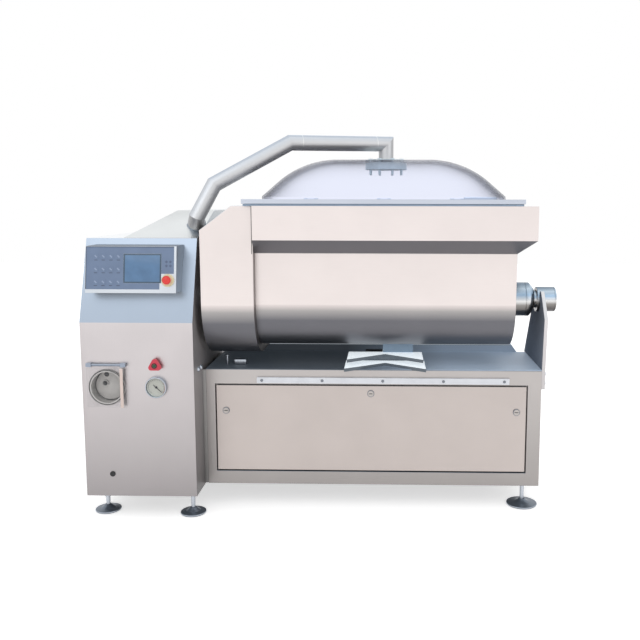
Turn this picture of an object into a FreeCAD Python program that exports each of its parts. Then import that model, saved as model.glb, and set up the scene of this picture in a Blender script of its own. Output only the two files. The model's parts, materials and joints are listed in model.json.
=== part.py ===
import FreeCAD
import Part
import Sketcher
import math
import os
import re

V = FreeCAD.Vector
doc = FreeCAD.newDocument("vacuum_mixer")

# Driving dimensions in millimetres
SIZES = {
    "overall_length": 2245.0,
    # Control cabinet
    "cab_width": 524.0, "cab_depth": 1130.0, "cab_skin": 3.0, "cab_bottom": 110.0,
    "bend_z": 941.0, "console_z": 1324.0, "console_setback": 127.0, "cab_floor_thick": 8.0,
    "hood_left_in": 170.0, "hood_start": 140.0, "hood_ridge_in": 336.0, "hood_ridge_back": 490.0,
    "hood_height": 126.0,
    # Base under the trough
    "cab_gap": 17.5, "base_setback": 157.0, "base_bottom": 116.0, "deck_z": 694.0,
    "base_skin": 4.0, "deck_depth": 448.0, "base_depth": 810.0, "base_rear_z": 560.0,
    "upstand_height": 58.0, "upstand_end": 46.0, "upstand_slope": 42.0,
    "opening_left_in": 43.5, "opening_right_in": 65.0, "opening_low": 65.0, "opening_high": 502.0,
    "panel_gap": 7.0, "panel_thick": 3.0, "panel_return": 20.0, "lip_width": 22.0,
    "lock_radius": 14.0, "lock_head": 5.0, "lock_shank": 7.0, "lock_inset": 52.0, "lock_side_z": 486.0,
    "lock_top_drop": 44.0, "cam_reach": 56.0, "cam_width": 16.0, "cam_thick": 4.0,
    "strip_left_in": 249.5, "strip_length": 1217.0, "strip_height": 28.0, "strip_thick": 12.0,
    "strip_centre_z": 639.0, "screw_radius": 7.0, "screw_head": 3.0, "screw_inset": 24.0,
    # V ledges and cradle below the trough
    "ledge_low_z": 708.0, "ledge_high_z": 744.0, "ledge_sheet": 4.0, "ledge_skirt": 17.0,
    "ledge_low_width": 390.0, "ledge_high_width": 368.0, "ledge_length": 186.0, "ledge_notch": 134.0,
    "ledge_low_end": 110.0, "ledge_high_end": 150.0, "riser_width": 200.0, "riser_back": 4.0,
    "pad_width": 152.0, "pad_depth": 70.0, "pad_back": 24.0, "pad_gap": 0.5,
    # Trunnion axis and mixing trough
    "axis_setback": 300.0, "axis_z": 1021.0, "shaft_spacing": 440.0, "trough_radius": 222.0,
    "trough_wall": 4.0, "end_wall": 6.0, "trough_length": 1215.0, "rim_z": 1477.0,
    "band_reach": 74.0, "band_end_reach": 79.0, "band_height": 155.0, "band_chamfer": 63.0,
    "band_sheet": 3.0, "drum_gap": 33.0, "casing_length": 246.0, "casing_radius": 266.0,
    "casing_wall": 4.0, "casing_chamfer_run": 148.0, "casing_chamfer_drop": 112.0,
    # Lid and dome
    "gasket_height": 9.0, "gasket_width": 22.0, "gasket_inset": 6.0, "lid_over_casing": 45.0,
    "lid_over_end": 20.0, "lid_front_in": 3.0, "lid_thick": 21.0, "lid_gap": 0.3, "dome_inset": 32.0,
    "dome_height": 197.0, "dome_reach": 380.0, "dome_wall": 8.0, "dome_step": 14.0,
    "dome_slope": 41.0,
    "flange_radius": 108.0, "flange_thick": 4.0, "disc_radius": 106.0, "disc_thick": 34.0,
    "bolt_circle": 85.0, "bolt_radius": 6.0, "bolt_drop": 26.0, "bolt_count": 8.0,
    # Vacuum pipe from the dome to the port on the cabinet roof
    "pipe_radius": 37.5, "pipe_wall": 3.0, "pipe_top_z": 1781.0, "pipe_rise": 8.0, "pipe_bend_in": 942.0,
    "pipe_bend_back": 331.0, "pipe_drop_in": 596.0, "pipe_drop_back": 191.0, "pipe_drop_z": 1576.0,
    "pipe_foot_in": 508.0, "pipe_foot_back": 154.0, "pipe_foot_z": 1403.0, "pipe_foot_tail": 50.0,
    "pipe_elbow": 26.0,
    "port_angle": 10.0, "port_gap": 0.3, "port_gasket": 4.0, "port_inset": 440.0,
    # Lid hinge
    "hinge_back": 26.0, "hinge_pin_radius": 12.0, "hinge_eye_radius": 20.0, "hinge_fit": 0.05,
    "hinge_arm_width": 44.0, "hinge_lug_width": 18.0, "hinge_side_gap": 0.5, "hinge_inset": 210.0,
    "actuator_radius": 27.0, "actuator_length": 190.0,
    # Right trunnion, end plate and bearing
    "collar_radius": 83.0, "collar_length": 97.0, "collar_chamfer": 21.0, "neck_radius": 42.0,
    "journal_radius": 35.0, "journal_fit": 0.05, "plate_thick": 17.0, "cap_reach": 64.0,
    "cap_thick": 12.0, "housing_radius": 61.0, "housing_inner": 13.0, "bush_wall": 10.0,
    "plate_overlap": 94.0,
    # Left trunnion and drives in the cabinet
    "shaft_radius": 30.0, "shaft_fit": 0.06, "trunnion_radius": 60.0, "trunnion_flange": 105.0,
    "flange_disc": 14.0, "seal_gap": 0.3, "wall_seal": 8.0, "stand_in": 425.0, "stand_thick": 18.0,
    "stand_width": 440.0, "stand_top": 1150.0, "bearing_radius": 92.0, "bearing_length": 48.0,
    "bearing_fit": 0.05, "gearbox_length": 250.0, "gearbox_width": 210.0, "gearbox_height": 212.0,
    "motor_radius": 82.0, "motor_length": 330.0, "tilt_module": 6.0, "tilt_teeth": 60.0,
    "pinion_teeth": 15.0, "tilt_face": 36.0, "pinion_angle": 50.0, "tilt_box": 120.0,
    "tilt_motor_radius": 55.0, "tilt_motor_length": 190.0, "pinion_shaft": 16.0,
    # Agitators and their gears
    "agitator_radius": 210.0, "paddle_count": 6.0, "arm_radius": 15.0, "blade_length": 150.0,
    "blade_height": 62.0, "blade_thick": 10.0, "blade_angle": 40.0, "end_journal": 25.0,
    "end_fit": 0.05, "seal_ring": 12.0, "drive_module": 10.0, "drive_teeth": 44.0,
    "drive_face": 50.0, "gear_inset": 90.0, "bearing_cup_radius": 48.0, "bearing_cup_length": 46.0,
    # Operator panel
    "hmi_left_in": 50.0, "hmi_width": 415.0, "hmi_low_z": 1084.0, "hmi_height": 211.0,
    "hmi_low_out": 43.0, "hmi_lean_back": 33.0, "film_thick": 1.0, "film_side": 2.0, "film_right": 11.0,
    "film_low": 17.0, "film_top": 2.0,
    "screen_in": 174.0, "screen_width": 173.0, "screen_low": 45.0, "screen_height": 134.0,
    "key_size": 24.0, "key_pitch": 34.5, "key_rise": 58.0, "key_in": 48.0, "key_low": 50.0,
    "key_high": 0.8, "patch_width": 70.0, "patch_height": 80.0,
    "estop_in": 377.0, "estop_up": 58.0, "ring_radius": 29.0, "ring_height": 5.0,
    "cap_radius": 20.0, "cap_height": 18.0, "cap_lift": 14.0, "stem_radius": 11.0, "estop_fit": 0.05,
    "estop_travel": 6.0,
    # Vacuum trap, valve, gauge and plug on the cabinet front
    "trap_in": 118.0, "trap_z": 637.0, "trap_radius": 85.0, "trap_inner": 73.0, "trap_depth": 90.0,
    "trap_lip": 8.0, "cover_left_in": 28.0, "cover_width": 184.0, "cover_top_z": 745.0,
    "cover_height": 200.0, "cover_thick": 8.0, "cover_gap": 0.3, "rod_radius": 6.0,
    "rod_fit": 0.05, "knob_in": 350.0, "knob_z": 745.0, "knob_lobe": 12.5, "knob_reach": 19.0,
    "knob_thick": 18.0, "valve_radius": 16.0, "valve_height": 9.0, "gauge_in": 349.0,
    "gauge_z": 639.0, "gauge_radius": 50.0, "gauge_height": 18.0, "needle_length": 34.0,
    "plug_in": 127.0, "plug_z": 218.0, "plug_radius": 11.0,
    # Levelling feet
    "foot_inset": 62.0, "foot_right_in": 38.0, "foot_left_back": 26.0, "foot_back": 72.0, "foot_radius": 62.0, "foot_height": 22.0,
    "stud_radius": 10.0, "nut_radius": 17.0, "nut_height": 22.0, "base_foot_inset": 70.0,
    "base_foot_back": 60.0, "base_foot_radius": 76.0,
    # Vacuum pump set in the base
    "pump_in": 320.0, "pump_back": 120.0, "pump_length": 330.0, "pump_width": 260.0,
    "pump_height": 280.0, "pump_motor_radius": 100.0, "pump_motor_length": 300.0,
    "pump_gap": 50.0, "floor_thick": 6.0, "coupling_radius": 38.0,
}

# Places worked out from the driving dimensions
LAYOUT = {
    "cab_left": "-overall_length / 2",
    "hmi_lean": "atan(hmi_lean_back / hmi_height)",
    "estop_front": "hmi_low_out + (ring_height + cap_lift + cap_height) * cos(hmi_lean)",
    "front": "(estop_front - (estop_up - cap_radius) * sin(hmi_lean) - cab_depth) / 2",
    "cab_right": "cab_left + cab_width",
    "cab_rear": "front + cab_depth",
    "console_run": "console_setback / (console_z - bend_z)",
    "base_left": "cab_right + cab_gap",
    "base_front": "front + base_setback",
    "base_rear": "base_front + base_depth",
    "deck_rear": "base_front + deck_depth",
    "axis_y": "front + axis_setback",
    "rear_axis_y": "axis_y + shaft_spacing",
    "casing_left": "cab_right + drum_gap",
    "trough_left": "casing_left + casing_length",
    "trough_right": "trough_left + trough_length",
    "trough_outer": "trough_radius + trough_wall",
    "trough_front": "axis_y - trough_outer",
    "trough_rear": "rear_axis_y + trough_outer",
    "trough_mid_x": "(trough_left + trough_right) / 2",
    "band_front": "trough_front - band_reach",
    "band_rear": "trough_rear + band_reach",
    "band_right": "trough_right + band_end_reach",
    "band_low": "rim_z - band_height",
    "lid_left": "trough_left - lid_over_casing",
    "lid_right": "trough_right + lid_over_end",
    "lid_front": "band_front + lid_front_in",
    "lid_rear": "band_rear - lid_front_in",
    "gasket_top": "rim_z + gasket_height",
    "lid_low": "gasket_top + lid_gap",
    "lid_top": "lid_low + lid_thick",
    "dome_top": "lid_top + dome_height",
    "lid_mid_x": "(lid_left + lid_right) / 2",
    "lid_mid_y": "(lid_front + lid_rear) / 2",
    "hinge_y": "band_rear + hinge_back",
    "hinge_z": "lid_low + lid_thick / 2",
    "plate_left": "overall_length / 2 - cap_reach - plate_thick",
    "plate_right": "plate_left + plate_thick",
    "base_right": "plate_left",
    "opening_left": "base_left + opening_left_in",
    "opening_right": "base_right - opening_right_in",
    "housing_left": "plate_left - housing_inner",
    "housing_right": "overall_length / 2 - cap_thick",
    "stand_left": "cab_left + stand_in",
    "stand_right": "stand_left + stand_thick",
    "tilt_radius": "tilt_module * tilt_teeth / 2",
    "pinion_centre": "tilt_module * (tilt_teeth + pinion_teeth) / 2",
    "pinion_y": "axis_y + pinion_centre * cos(pinion_angle)",
    "pinion_z": "axis_z - pinion_centre * sin(pinion_angle)",
    "gear_left": "casing_left + gear_inset",
    "hmi_left": "cab_left + hmi_left_in",
    "hmi_y": "front - hmi_low_out",
    "hmi_face": "sqrt(hmi_lean_back * hmi_lean_back + hmi_height * hmi_height)",
    "cover_left": "cab_left + cover_left_in",
}

sheet = doc.addObject("Spreadsheet::Sheet", "Sizes")
for row, (alias, number) in enumerate(SIZES.items(), start=1):
    sheet.set(f"A{row}", alias)
    sheet.set(f"B{row}", str(number))
    sheet.setAlias(f"B{row}", alias)
layout = doc.addObject("App::VarSet", "Layout")
for place in LAYOUT:
    layout.addProperty("App::PropertyFloat", place)
layout.addProperty("App::PropertyFloat", "reading")


def bound(text):
    """Turn plain names into references to the sheet and the layout."""
    def swap(found):
        word = found.group(0)
        if word in SIZES:
            return "Sizes." + word
        if word in LAYOUT:
            return "Layout." + word
        return word
    return re.sub(r"[a-z][a-z_0-9]*", swap, str(text))


for place, rule in LAYOUT.items():
    layout.setExpression(place, bound(rule))
doc.recompute()


def value(text):
    """Read the number that a rule gives."""
    layout.setExpression("reading", bound(text))
    layout.recompute()
    return layout.reading


def at(thing, x="0", y="0", z="0"):
    """Bind the place of an object."""
    for letter, text in (("x", x), ("y", y), ("z", z)):
        thing.setExpression("Placement.Base." + letter, bound(text))
    return thing


NODES = {}


def node(name, thing):
    """Register a finished sub-part under its own name."""
    thing.Label = name
    NODES[name] = thing
    return thing


def box(x, y, z, length, width, height):
    """Block with its low corner at x, y, z."""
    thing = doc.addObject("Part::Box", "Block")
    for prop, text in (("Length", length), ("Width", width), ("Height", height)):
        thing.setExpression(prop, bound(text))
    return at(thing, x, y, z)


def between(x0, x1, y0, y1, z0, z1):
    """Block between two corners."""
    return box(x0, y0, z0, f"({x1}) - ({x0})", f"({y1}) - ({y0})", f"({z1}) - ({z0})")


TURN = {"X": (V(0, 1, 0), 90), "Y": (V(1, 0, 0), -90), "Z": (V(0, 0, 1), 0)}


def rod(axis, x, y, z, radius, length):
    """Cylinder that starts at x, y, z and runs along an axis."""
    thing = doc.addObject("Part::Cylinder", "Rod")
    thing.Placement.Rotation = FreeCAD.Rotation(*TURN[axis])
    thing.setExpression("Radius", bound(radius))
    thing.setExpression("Height", bound(length))
    return at(thing, x, y, z)


def frustum(low, high):
    """Solid between two level rectangles, each given as x0, x1, y0, y1, z."""
    thing = doc.addObject("Part::Wedge", "Frustum")
    thing.Placement.Rotation = FreeCAD.Rotation(V(1, 0, 0), 90)
    names = (("Xmin", low[0]), ("Xmax", low[1]), ("Zmin", f"-({low[3]})"), ("Zmax", f"-({low[2]})"),
             ("Ymin", low[4]), ("X2min", high[0]), ("X2max", high[1]), ("Z2min", f"-({high[3]})"),
             ("Z2max", f"-({high[2]})"), ("Ymax", high[4]))
    for prop, text in names:
        thing.setExpression(prop, bound(text))
    return thing


def cut(base, *tools):
    """Take tools away from a solid."""
    thing = doc.addObject("Part::Cut", "Cut")
    thing.Base = base
    thing.Tool = tools[0] if len(tools) == 1 else fuse(*tools)
    return thing


def fuse(*parts):
    """Join solids into one."""
    thing = doc.addObject("Part::MultiFuse", "Fuse")
    thing.Shapes = list(parts)
    thing.Refine = True
    return thing


def group(*parts):
    """Hold separate solids in one node."""
    thing = doc.addObject("Part::Compound", "Group")
    thing.Links = list(parts)
    return thing


def turned(thing, axis, text):
    """Turn an object about an axis through its own place by a bound angle."""
    thing.Placement.Rotation = FreeCAD.Rotation(axis, 1)
    thing.setExpression("Placement.Rotation.Angle", bound(text))
    return thing


ROLES = {"X": "YZ_Plane", "Y": "XZ_Plane", "Z": "XY_Plane"}


def prism(axis, points, start, length):
    """Pad of a closed outline along an axis; each point is two rules on the other two axes."""
    body = doc.addObject("PartDesign::Body", "Prism")
    sketch = body.newObject("Sketcher::SketchObject", "Outline")
    plane = [item for item in body.Origin.OriginFeatures if item.Role == ROLES[axis]][0]
    sketch.AttachmentSupport = [(plane, "")]
    sketch.MapMode = "FlatFace"
    corners = [V(value(u), value(w), 0) for u, w in points]
    count = len(corners)
    for index in range(count):
        sketch.addGeometry(Part.LineSegment(corners[index], corners[(index + 1) % count]))
    for index in range(count):
        sketch.addConstraint(Sketcher.Constraint("Coincident", index, 2, (index + 1) % count, 1))
    for index, rules in enumerate(points):
        for kind, text, number in zip(("DistanceX", "DistanceY"), rules, corners[index]):
            sketch.addConstraint(Sketcher.Constraint(kind, -1, 1, index, 1, number))
            sketch.setExpression(f"Constraints[{sketch.ConstraintCount - 1}]", bound(text))
    pad = body.newObject("PartDesign::Pad", "Pad")
    pad.Profile = sketch
    pad.setExpression("Length", bound(length))
    pad.Reversed = axis == "Y"
    body.setExpression("Placement.Base." + axis.lower(), bound(start))
    return body


def feature(shape):
    """Keep a shape made from the sheet's values."""
    thing = doc.addObject("Part::Feature", "Form")
    thing.Shape = shape
    return thing


def revolved(points, x, y, z, axis):
    """Spin an outline of (radius, height) values about an axis through a place."""
    corners = [V(radius, 0, height) for radius, height in points]
    face = Part.Face(Part.makePolygon(corners + [corners[0]]))
    thing = feature(face.revolve(V(), V(0, 0, 1), 360))
    thing.Placement = FreeCAD.Placement(V(x, y, z), FreeCAD.Rotation(*TURN[axis]))
    return thing


def tube_run(points, radius):
    """Round bar along straight runs with mitred corners."""
    path = Part.makePolygon(points)
    start = Part.Wire(Part.makeCircle(radius, points[0], points[1] - points[0]))
    shell = Part.BRepOffsetAPI.MakePipeShell(path)
    shell.setTransitionMode(1)
    shell.add(start)
    shell.build()
    shell.makeSolid()
    return shell.shape()


def gear_shape(module, teeth, face, bore, clearance):
    """Spur gear with straight-sided teeth; the tooth at angle zero is centred on +X."""
    pitch_radius = module * teeth / 2
    root, tip = pitch_radius - 1.2 * module, pitch_radius + 0.9 * module
    half = math.pi * module / 4 - clearance
    slope = math.tan(math.radians(20))
    points = []
    for index in range(int(teeth)):
        middle = 2 * math.pi * index / teeth
        for radius, side in ((root, -1), (tip, -1), (tip, 1), (root, 1)):
            angle = middle + side * (half - (radius - pitch_radius) * slope) / radius
            points.append(V(radius * math.cos(angle), radius * math.sin(angle), 0))
    blank = Part.Face(Part.makePolygon(points + [points[0]])).extrude(V(0, 0, face))
    return blank.cut(Part.makeCylinder(bore, face))


# Control cabinet
def console_y(z, shift="0"):
    """Distance back of the sloped console at a height."""
    return f"front + console_run * ({z} - bend_z) + ({shift}) * sqrt(1 + console_run * console_run)"


def cabinet_outline(skin):
    """Side outline of the cabinet, drawn in by a skin."""
    knee = f"bend_z + ({skin} - ({skin}) * sqrt(1 + console_run * console_run)) / console_run"
    top = f"console_z - ({skin})"
    foot = "cab_bottom" if skin == "0" else "cab_bottom - 1"
    return [(f"front + {skin}", foot), (f"front + {skin}", knee), (console_y(top, skin), top),
            (f"cab_rear - {skin}", top), (f"cab_rear - {skin}", foot)]


def cabinet_shell():
    """Sheet cabinet with a sloped console, open below, and holes for what it carries."""
    outer = prism("X", cabinet_outline("0"), "cab_left", "cab_width")
    inner = prism("X", cabinet_outline("cab_skin"), "cab_left + cab_skin", "cab_width - 2 * cab_skin")
    shaft = rod("X", "cab_right - 20", "axis_y", "axis_z", "trunnion_radius + wall_seal", "40")
    trap = rod("Y", "cab_left + trap_in", "front - 5", "trap_z", "trap_inner + trap_lip / 2", "20")
    valve = rod("Y", "cab_left + knob_in", "front - 5", "knob_z", "valve_radius", "20")
    gauge = rod("Y", "cab_left + gauge_in", "front - 5", "gauge_z", "10", "20")
    plug = rod("Y", "cab_left + plug_in", "front - 5", "plug_z", "plug_radius", "20")
    floor = between("cab_left + cab_skin", "cab_right - cab_skin", "front + cab_skin",
                    "cab_rear - cab_skin", "cab_bottom", "cab_bottom + cab_floor_thick")
    node("cabinet_shell", fuse(cut(outer, inner, shaft, trap, valve, gauge, plug), floor))
    node("wall_seal", cut(rod("X", "cab_right - cab_skin - 4", "axis_y", "axis_z",
                              "trunnion_radius + wall_seal", "cab_skin + 8"),
                          rod("X", "cab_right - 20", "axis_y", "axis_z",
                              "trunnion_radius + seal_gap", "40")))


def cabinet_hood():
    """Sloped roof hood behind the console."""
    def wedge(skin, foot):
        low = (f"cab_left + hood_left_in + {skin} * 2", f"cab_right - {skin}",
               f"front + hood_start + {skin} * 3", f"cab_rear - {skin}", f"console_z - {foot}")
        high = (f"cab_left + hood_ridge_in + {skin}", f"cab_right - {skin}",
                f"front + hood_ridge_back + {skin}", f"cab_rear - {skin}",
                f"console_z + hood_height - {skin}")
        return frustum(low, high)
    node("cabinet_hood", cut(wedge("0", "0"), wedge("cab_skin", "0.5")))


# Base under the trough
def base_outline(skin, low, high):
    """Side outline of the base body."""
    return [(f"base_front + {skin}", low), (f"base_front + {skin}", f"deck_z - base_skin {high}"),
            ("deck_rear", f"deck_z - base_skin {high}"),
            (f"base_rear - {skin}", f"base_rear_z - base_skin {high}"), (f"base_rear - {skin}", low)]


def base_frame():
    """Base body with a front opening and the lip that the access panel seats on."""
    outer = prism("X", base_outline("0", "base_bottom", ""), "base_left", "base_right - base_left")
    inner = prism("X", base_outline("base_skin", "base_bottom - 1", "+ 5"), "base_left + base_skin",
                  "base_right - base_left - 2 * base_skin")
    def window(grow, y0, y1):
        return between(f"opening_left - {grow}", f"opening_right + {grow}", y0, y1,
                       f"base_bottom + opening_low - {grow}", f"base_bottom + opening_high + {grow}")
    seat = "base_front + panel_thick + panel_return"
    frame = window("base_skin", "base_front", f"{seat} + base_skin")
    hole = window("0", "base_front - 1", seat)
    throat = window("-lip_width", "base_front - 1", f"{seat} + 20")
    floor = between("base_left + base_skin", "base_right - base_skin", "base_front + base_skin",
                    "base_rear - base_skin", "base_bottom", "base_bottom + floor_thick")
    node("base_frame", fuse(cut(fuse(cut(outer, inner), frame), hole, throat), floor))


def deck():
    """Top sheet, level in front and sloped behind, with an upstand where the slope starts."""
    drop = "base_skin"
    points = [("base_front", "deck_z - " + drop), ("base_front", "deck_z"), ("deck_rear", "deck_z"),
              ("base_rear", "base_rear_z"), ("base_rear", "base_rear_z - " + drop),
              ("deck_rear", "deck_z - " + drop)]
    top = prism("X", points, "base_left", "base_right - base_left")
    wall = [("base_left + 10", "deck_z - 1"), ("base_right - upstand_end", "deck_z - 1"),
            ("base_right - upstand_end", "deck_z"),
            ("base_right - upstand_end - upstand_slope", "deck_z + upstand_height"),
            ("base_left + 10 + upstand_slope", "deck_z + upstand_height"), ("base_left + 10", "deck_z")]
    node("deck_plate", fuse(top, prism("Y", wall, "deck_rear - base_skin", "base_skin")))


def access_panel():
    """Folded tray that closes the base, with three quarter-turn locks."""
    x0, x1 = "opening_left + panel_gap", "opening_right - panel_gap"
    z0, z1 = "base_bottom + opening_low + panel_gap", "base_bottom + opening_high - panel_gap"
    tray = between(x0, x1, "base_front", "base_front + panel_thick + panel_return", z0, z1)
    hollow = between(x0 + " + panel_thick", x1 + " - panel_thick", "base_front + panel_thick",
                     "base_front + panel_thick + panel_return + 1", z0 + " + panel_thick",
                     z1 + " - panel_thick")
    places = {"left": ("opening_left + lock_inset", "lock_side_z", "-1", "0"),
              "middle": ("(opening_left + opening_right) / 2",
                         "base_bottom + opening_high - lock_top_drop", "0", "1"),
              "right": ("opening_right - lock_inset", "lock_side_z", "1", "0")}
    holes = [rod("Y", x, "base_front - 5", z, "lock_shank + bearing_fit", "20")
             for x, z, _, _ in places.values()]
    node("access_panel", cut(tray, hollow, *holes))
    behind = "base_front + panel_thick + panel_return + base_skin + lid_gap"
    for name, (x, z, side, up) in places.items():
        head = rod("Y", x, "base_front - lock_head", z, "lock_radius", "lock_head")
        shank = rod("Y", x, "base_front - 1", z, "lock_shank", "panel_thick + panel_return + base_skin + 6")
        slot = box(f"{x} - lock_radius", "base_front - lock_head - 1", f"{z} - 1.5", "2 * lock_radius",
                   "3", "3")
        reach = "cam_reach" if up == "0" else "lock_top_drop + 4"
        if up == "0":
            cam = box(f"{x} - cam_width / 2 - ({reach} - cam_width / 2) * ({'1' if side == '-1' else '0'})",
                      behind, f"{z} - cam_width / 2", reach, "cam_thick", "cam_width")
        else:
            cam = box(f"{x} - cam_width / 2", behind, f"{z} - cam_width / 2", "cam_width", "cam_thick",
                      reach)
        node(f"panel_lock_{name}", fuse(cut(head, slot), shank, cam))


def bumper():
    """Plastic strip along the base, held by five screws."""
    left = "base_left + strip_left_in"
    strip = box(left, "base_front - strip_thick", "strip_centre_z - strip_height / 2", "strip_length",
                "strip_thick", "strip_height")
    heads, holes = [], []
    for index in range(5):
        x = f"{left} + screw_inset + (strip_length - 2 * screw_inset) * {index} / 4"
        heads.append(fuse(rod("Y", x, "base_front - strip_thick - screw_head", "strip_centre_z",
                              "screw_radius", "screw_head"),
                          rod("Y", x, "base_front - strip_thick - 1", "strip_centre_z",
                              "screw_radius / 2", "strip_thick + 1")))
        holes.append(rod("Y", x, "base_front - strip_thick - 1", "strip_centre_z", "screw_radius / 2",
                         "strip_thick + 2"))
    node("bumper_strip", cut(strip, *holes))
    node("bumper_screws", group(*heads))


def ledge(width, end, top):
    """V-notched tray with a skirt turned down all round."""
    def outline(inset):
        half = f"({width} / 2 - {inset})"
        rear = f"front + {end} + ledge_length - {inset}"
        tip = f"front + {end} + {inset} * 1.6"
        notch = f"front + {end} + ledge_notch + {inset} * 1.3"
        return [(f"trough_mid_x - {half}", rear), (f"trough_mid_x - {half}", tip), ("trough_mid_x", notch),
                (f"trough_mid_x + {half}", tip), (f"trough_mid_x + {half}", rear)]
    outer = prism("Z", outline("0"), f"{top} - ledge_skirt", "ledge_skirt")
    inner = prism("Z", outline("ledge_sheet"), f"{top} - ledge_skirt - 1", "ledge_skirt + 1 - ledge_sheet")
    return cut(outer, inner)


def ledges():
    """Two V ledges and the cradle pad that the trough rests over."""
    low = ledge("ledge_low_width", "ledge_low_end", "ledge_low_z")
    notch = between("trough_mid_x - 400", "trough_mid_x + 400", "base_front", "deck_rear",
                    "deck_z - 30", "deck_z")
    node("v_ledge_lower", cut(low, notch))
    riser = between("trough_mid_x - riser_width / 2", "trough_mid_x + riser_width / 2",
                    "axis_y + riser_back", "axis_y + pad_back + pad_depth + 4", "deck_z", "ledge_high_z")
    node("v_ledge_upper", fuse(ledge("ledge_high_width", "ledge_high_end", "ledge_high_z"), riser))
    pad = box("trough_mid_x - 12", "axis_y + pad_back", "ledge_high_z", "pad_width", "pad_depth", "100")
    drum = rod("X", "trough_left", "axis_y", "axis_z", "trough_outer + pad_gap", "trough_length")
    node("cradle_pad", cut(pad, drum))


# Right end bearing
def end_plate():
    """Leaning pillar plate bolted to the right end of the base."""
    low = "deck_z - plate_overlap"
    points = [("base_front + 2", low), ("base_front + 2", "deck_z"), ("front + 132", "axis_z - 77"),
              ("axis_y - 95", "axis_z + 10"), ("axis_y - 62", "axis_z + 44"), ("axis_y + 62", "axis_z + 44"),
              ("axis_y + 108", "axis_z - 6"), ("deck_rear + 24", "deck_z"), ("deck_rear + 24", low)]
    plate = prism("X", points, "plate_left", "plate_thick")
    node("end_plate", cut(plate, rod("X", "plate_left - 5", "axis_y", "axis_z", "housing_radius",
                                     "plate_thick + 10")))
    bush_outer = "journal_radius + journal_fit + bush_wall"
    length = "housing_right - housing_left"
    housing = cut(rod("X", "housing_left", "axis_y", "axis_z", "housing_radius", length),
                  rod("X", "housing_left - 1", "axis_y", "axis_z", bush_outer, length + " + 2"))
    bush = cut(rod("X", "housing_left", "axis_y", "axis_z", bush_outer, length),
               rod("X", "housing_left - 1", "axis_y", "axis_z", "journal_radius + journal_fit",
                   length + " + 2"))
    cap = revolved([(0, 0), (value("housing_radius"), 0), (value("housing_radius"), value("cap_thick") / 2),
                    (value("housing_radius - 8"), value("cap_thick") - 1), (0, value("cap_thick"))],
                   value("housing_right"), value("axis_y"), value("axis_z"), "X")
    node("bearing_housing", group(housing, bush, cap))


def right_trunnion():
    """Stepped trunnion on the trough's right end, bored for the front agitator."""
    collar, neck, journal = value("collar_radius"), value("neck_radius"), value("journal_radius")
    start = value("trough_right")
    steps = [value("collar_length"), value("collar_length + collar_chamfer"),
             value("housing_left") - start - 1, value("housing_right") - start - 2]
    bore, deep = value("end_journal + end_fit"), value("collar_length - 14")
    outline = [(bore, 0), (collar, 0), (collar, steps[0]), (collar * 0.66, steps[1]), (neck, steps[1]),
               (neck, steps[2]), (journal, steps[2]), (journal, steps[3]), (0, steps[3]), (0, deep),
               (bore, deep)]
    node("right_trunnion", revolved(outline, start, value("axis_y"), value("axis_z"), "X"))


# Mixing trough
def trough_solid(shrink, end, top):
    """Two round bottoms under a box, drawn in by a wall."""
    x, length = f"trough_left + {end}", f"trough_length - 2 * ({end})"
    radius = f"trough_outer - ({shrink})"
    block = between(x, f"{x} + {length}", f"trough_front + {shrink}", f"trough_rear - ({shrink})", "axis_z",
                    top)
    return fuse(block, rod("X", x, "axis_y", "axis_z", radius, length),
                rod("X", x, "rear_axis_y", "axis_z", radius, length))


def shaft_holes(radius, x, length):
    """Two cylinders on the agitator axes."""
    return [rod("X", x, y, "axis_z", radius, length) for y in ("axis_y", "rear_axis_y")]


def trough():
    """Twin-bottom trough, its rim band and the rim gasket."""
    shell = cut(trough_solid("0", "0", "rim_z"), trough_solid("trough_wall", "end_wall", "rim_z + 1"),
                *shaft_holes("shaft_radius + seal_ring", "trough_left - 5", "end_wall + 10"),
                *shaft_holes("end_journal + end_fit", "trough_right - end_wall - 5", "end_wall + 10"))
    node("trough", shell)

    def ring(sheet, top, low):
        high = (f"trough_left + {sheet} - {sheet}", f"band_right - ({sheet})", f"band_front + {sheet}",
                f"band_rear - ({sheet})", "band_low")
        foot = (f"trough_left + {sheet} - {sheet}", f"trough_right - ({sheet}) * 0.8",
                f"trough_front + ({sheet}) * 0.8", f"trough_rear - ({sheet}) * 0.8",
                "band_low - band_chamfer")
        return fuse(between(high[0], high[1], high[2], high[3], "band_low", top), frustum(foot, high))
    hollow = between("trough_left - 1", "trough_right", "trough_front", "trough_rear", "band_low - 100",
                     "rim_z + 1")
    node("rim_band", cut(ring("0", "rim_z", "0"), ring("band_sheet", "rim_z - band_sheet", "1"), hollow))
    inset, inner = "gasket_inset", "gasket_inset + gasket_width"
    node("rim_gasket", cut(between(f"lid_left + {inset}", f"lid_right - {inset}", f"lid_front + {inset}",
                                   f"lid_rear - {inset}", "rim_z", "gasket_top"),
                           between(f"lid_left + {inner}", f"lid_right - ({inner})", f"lid_front + {inner}",
                                   f"lid_rear - ({inner})", "rim_z - 1", "gasket_top + 1")))


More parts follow.
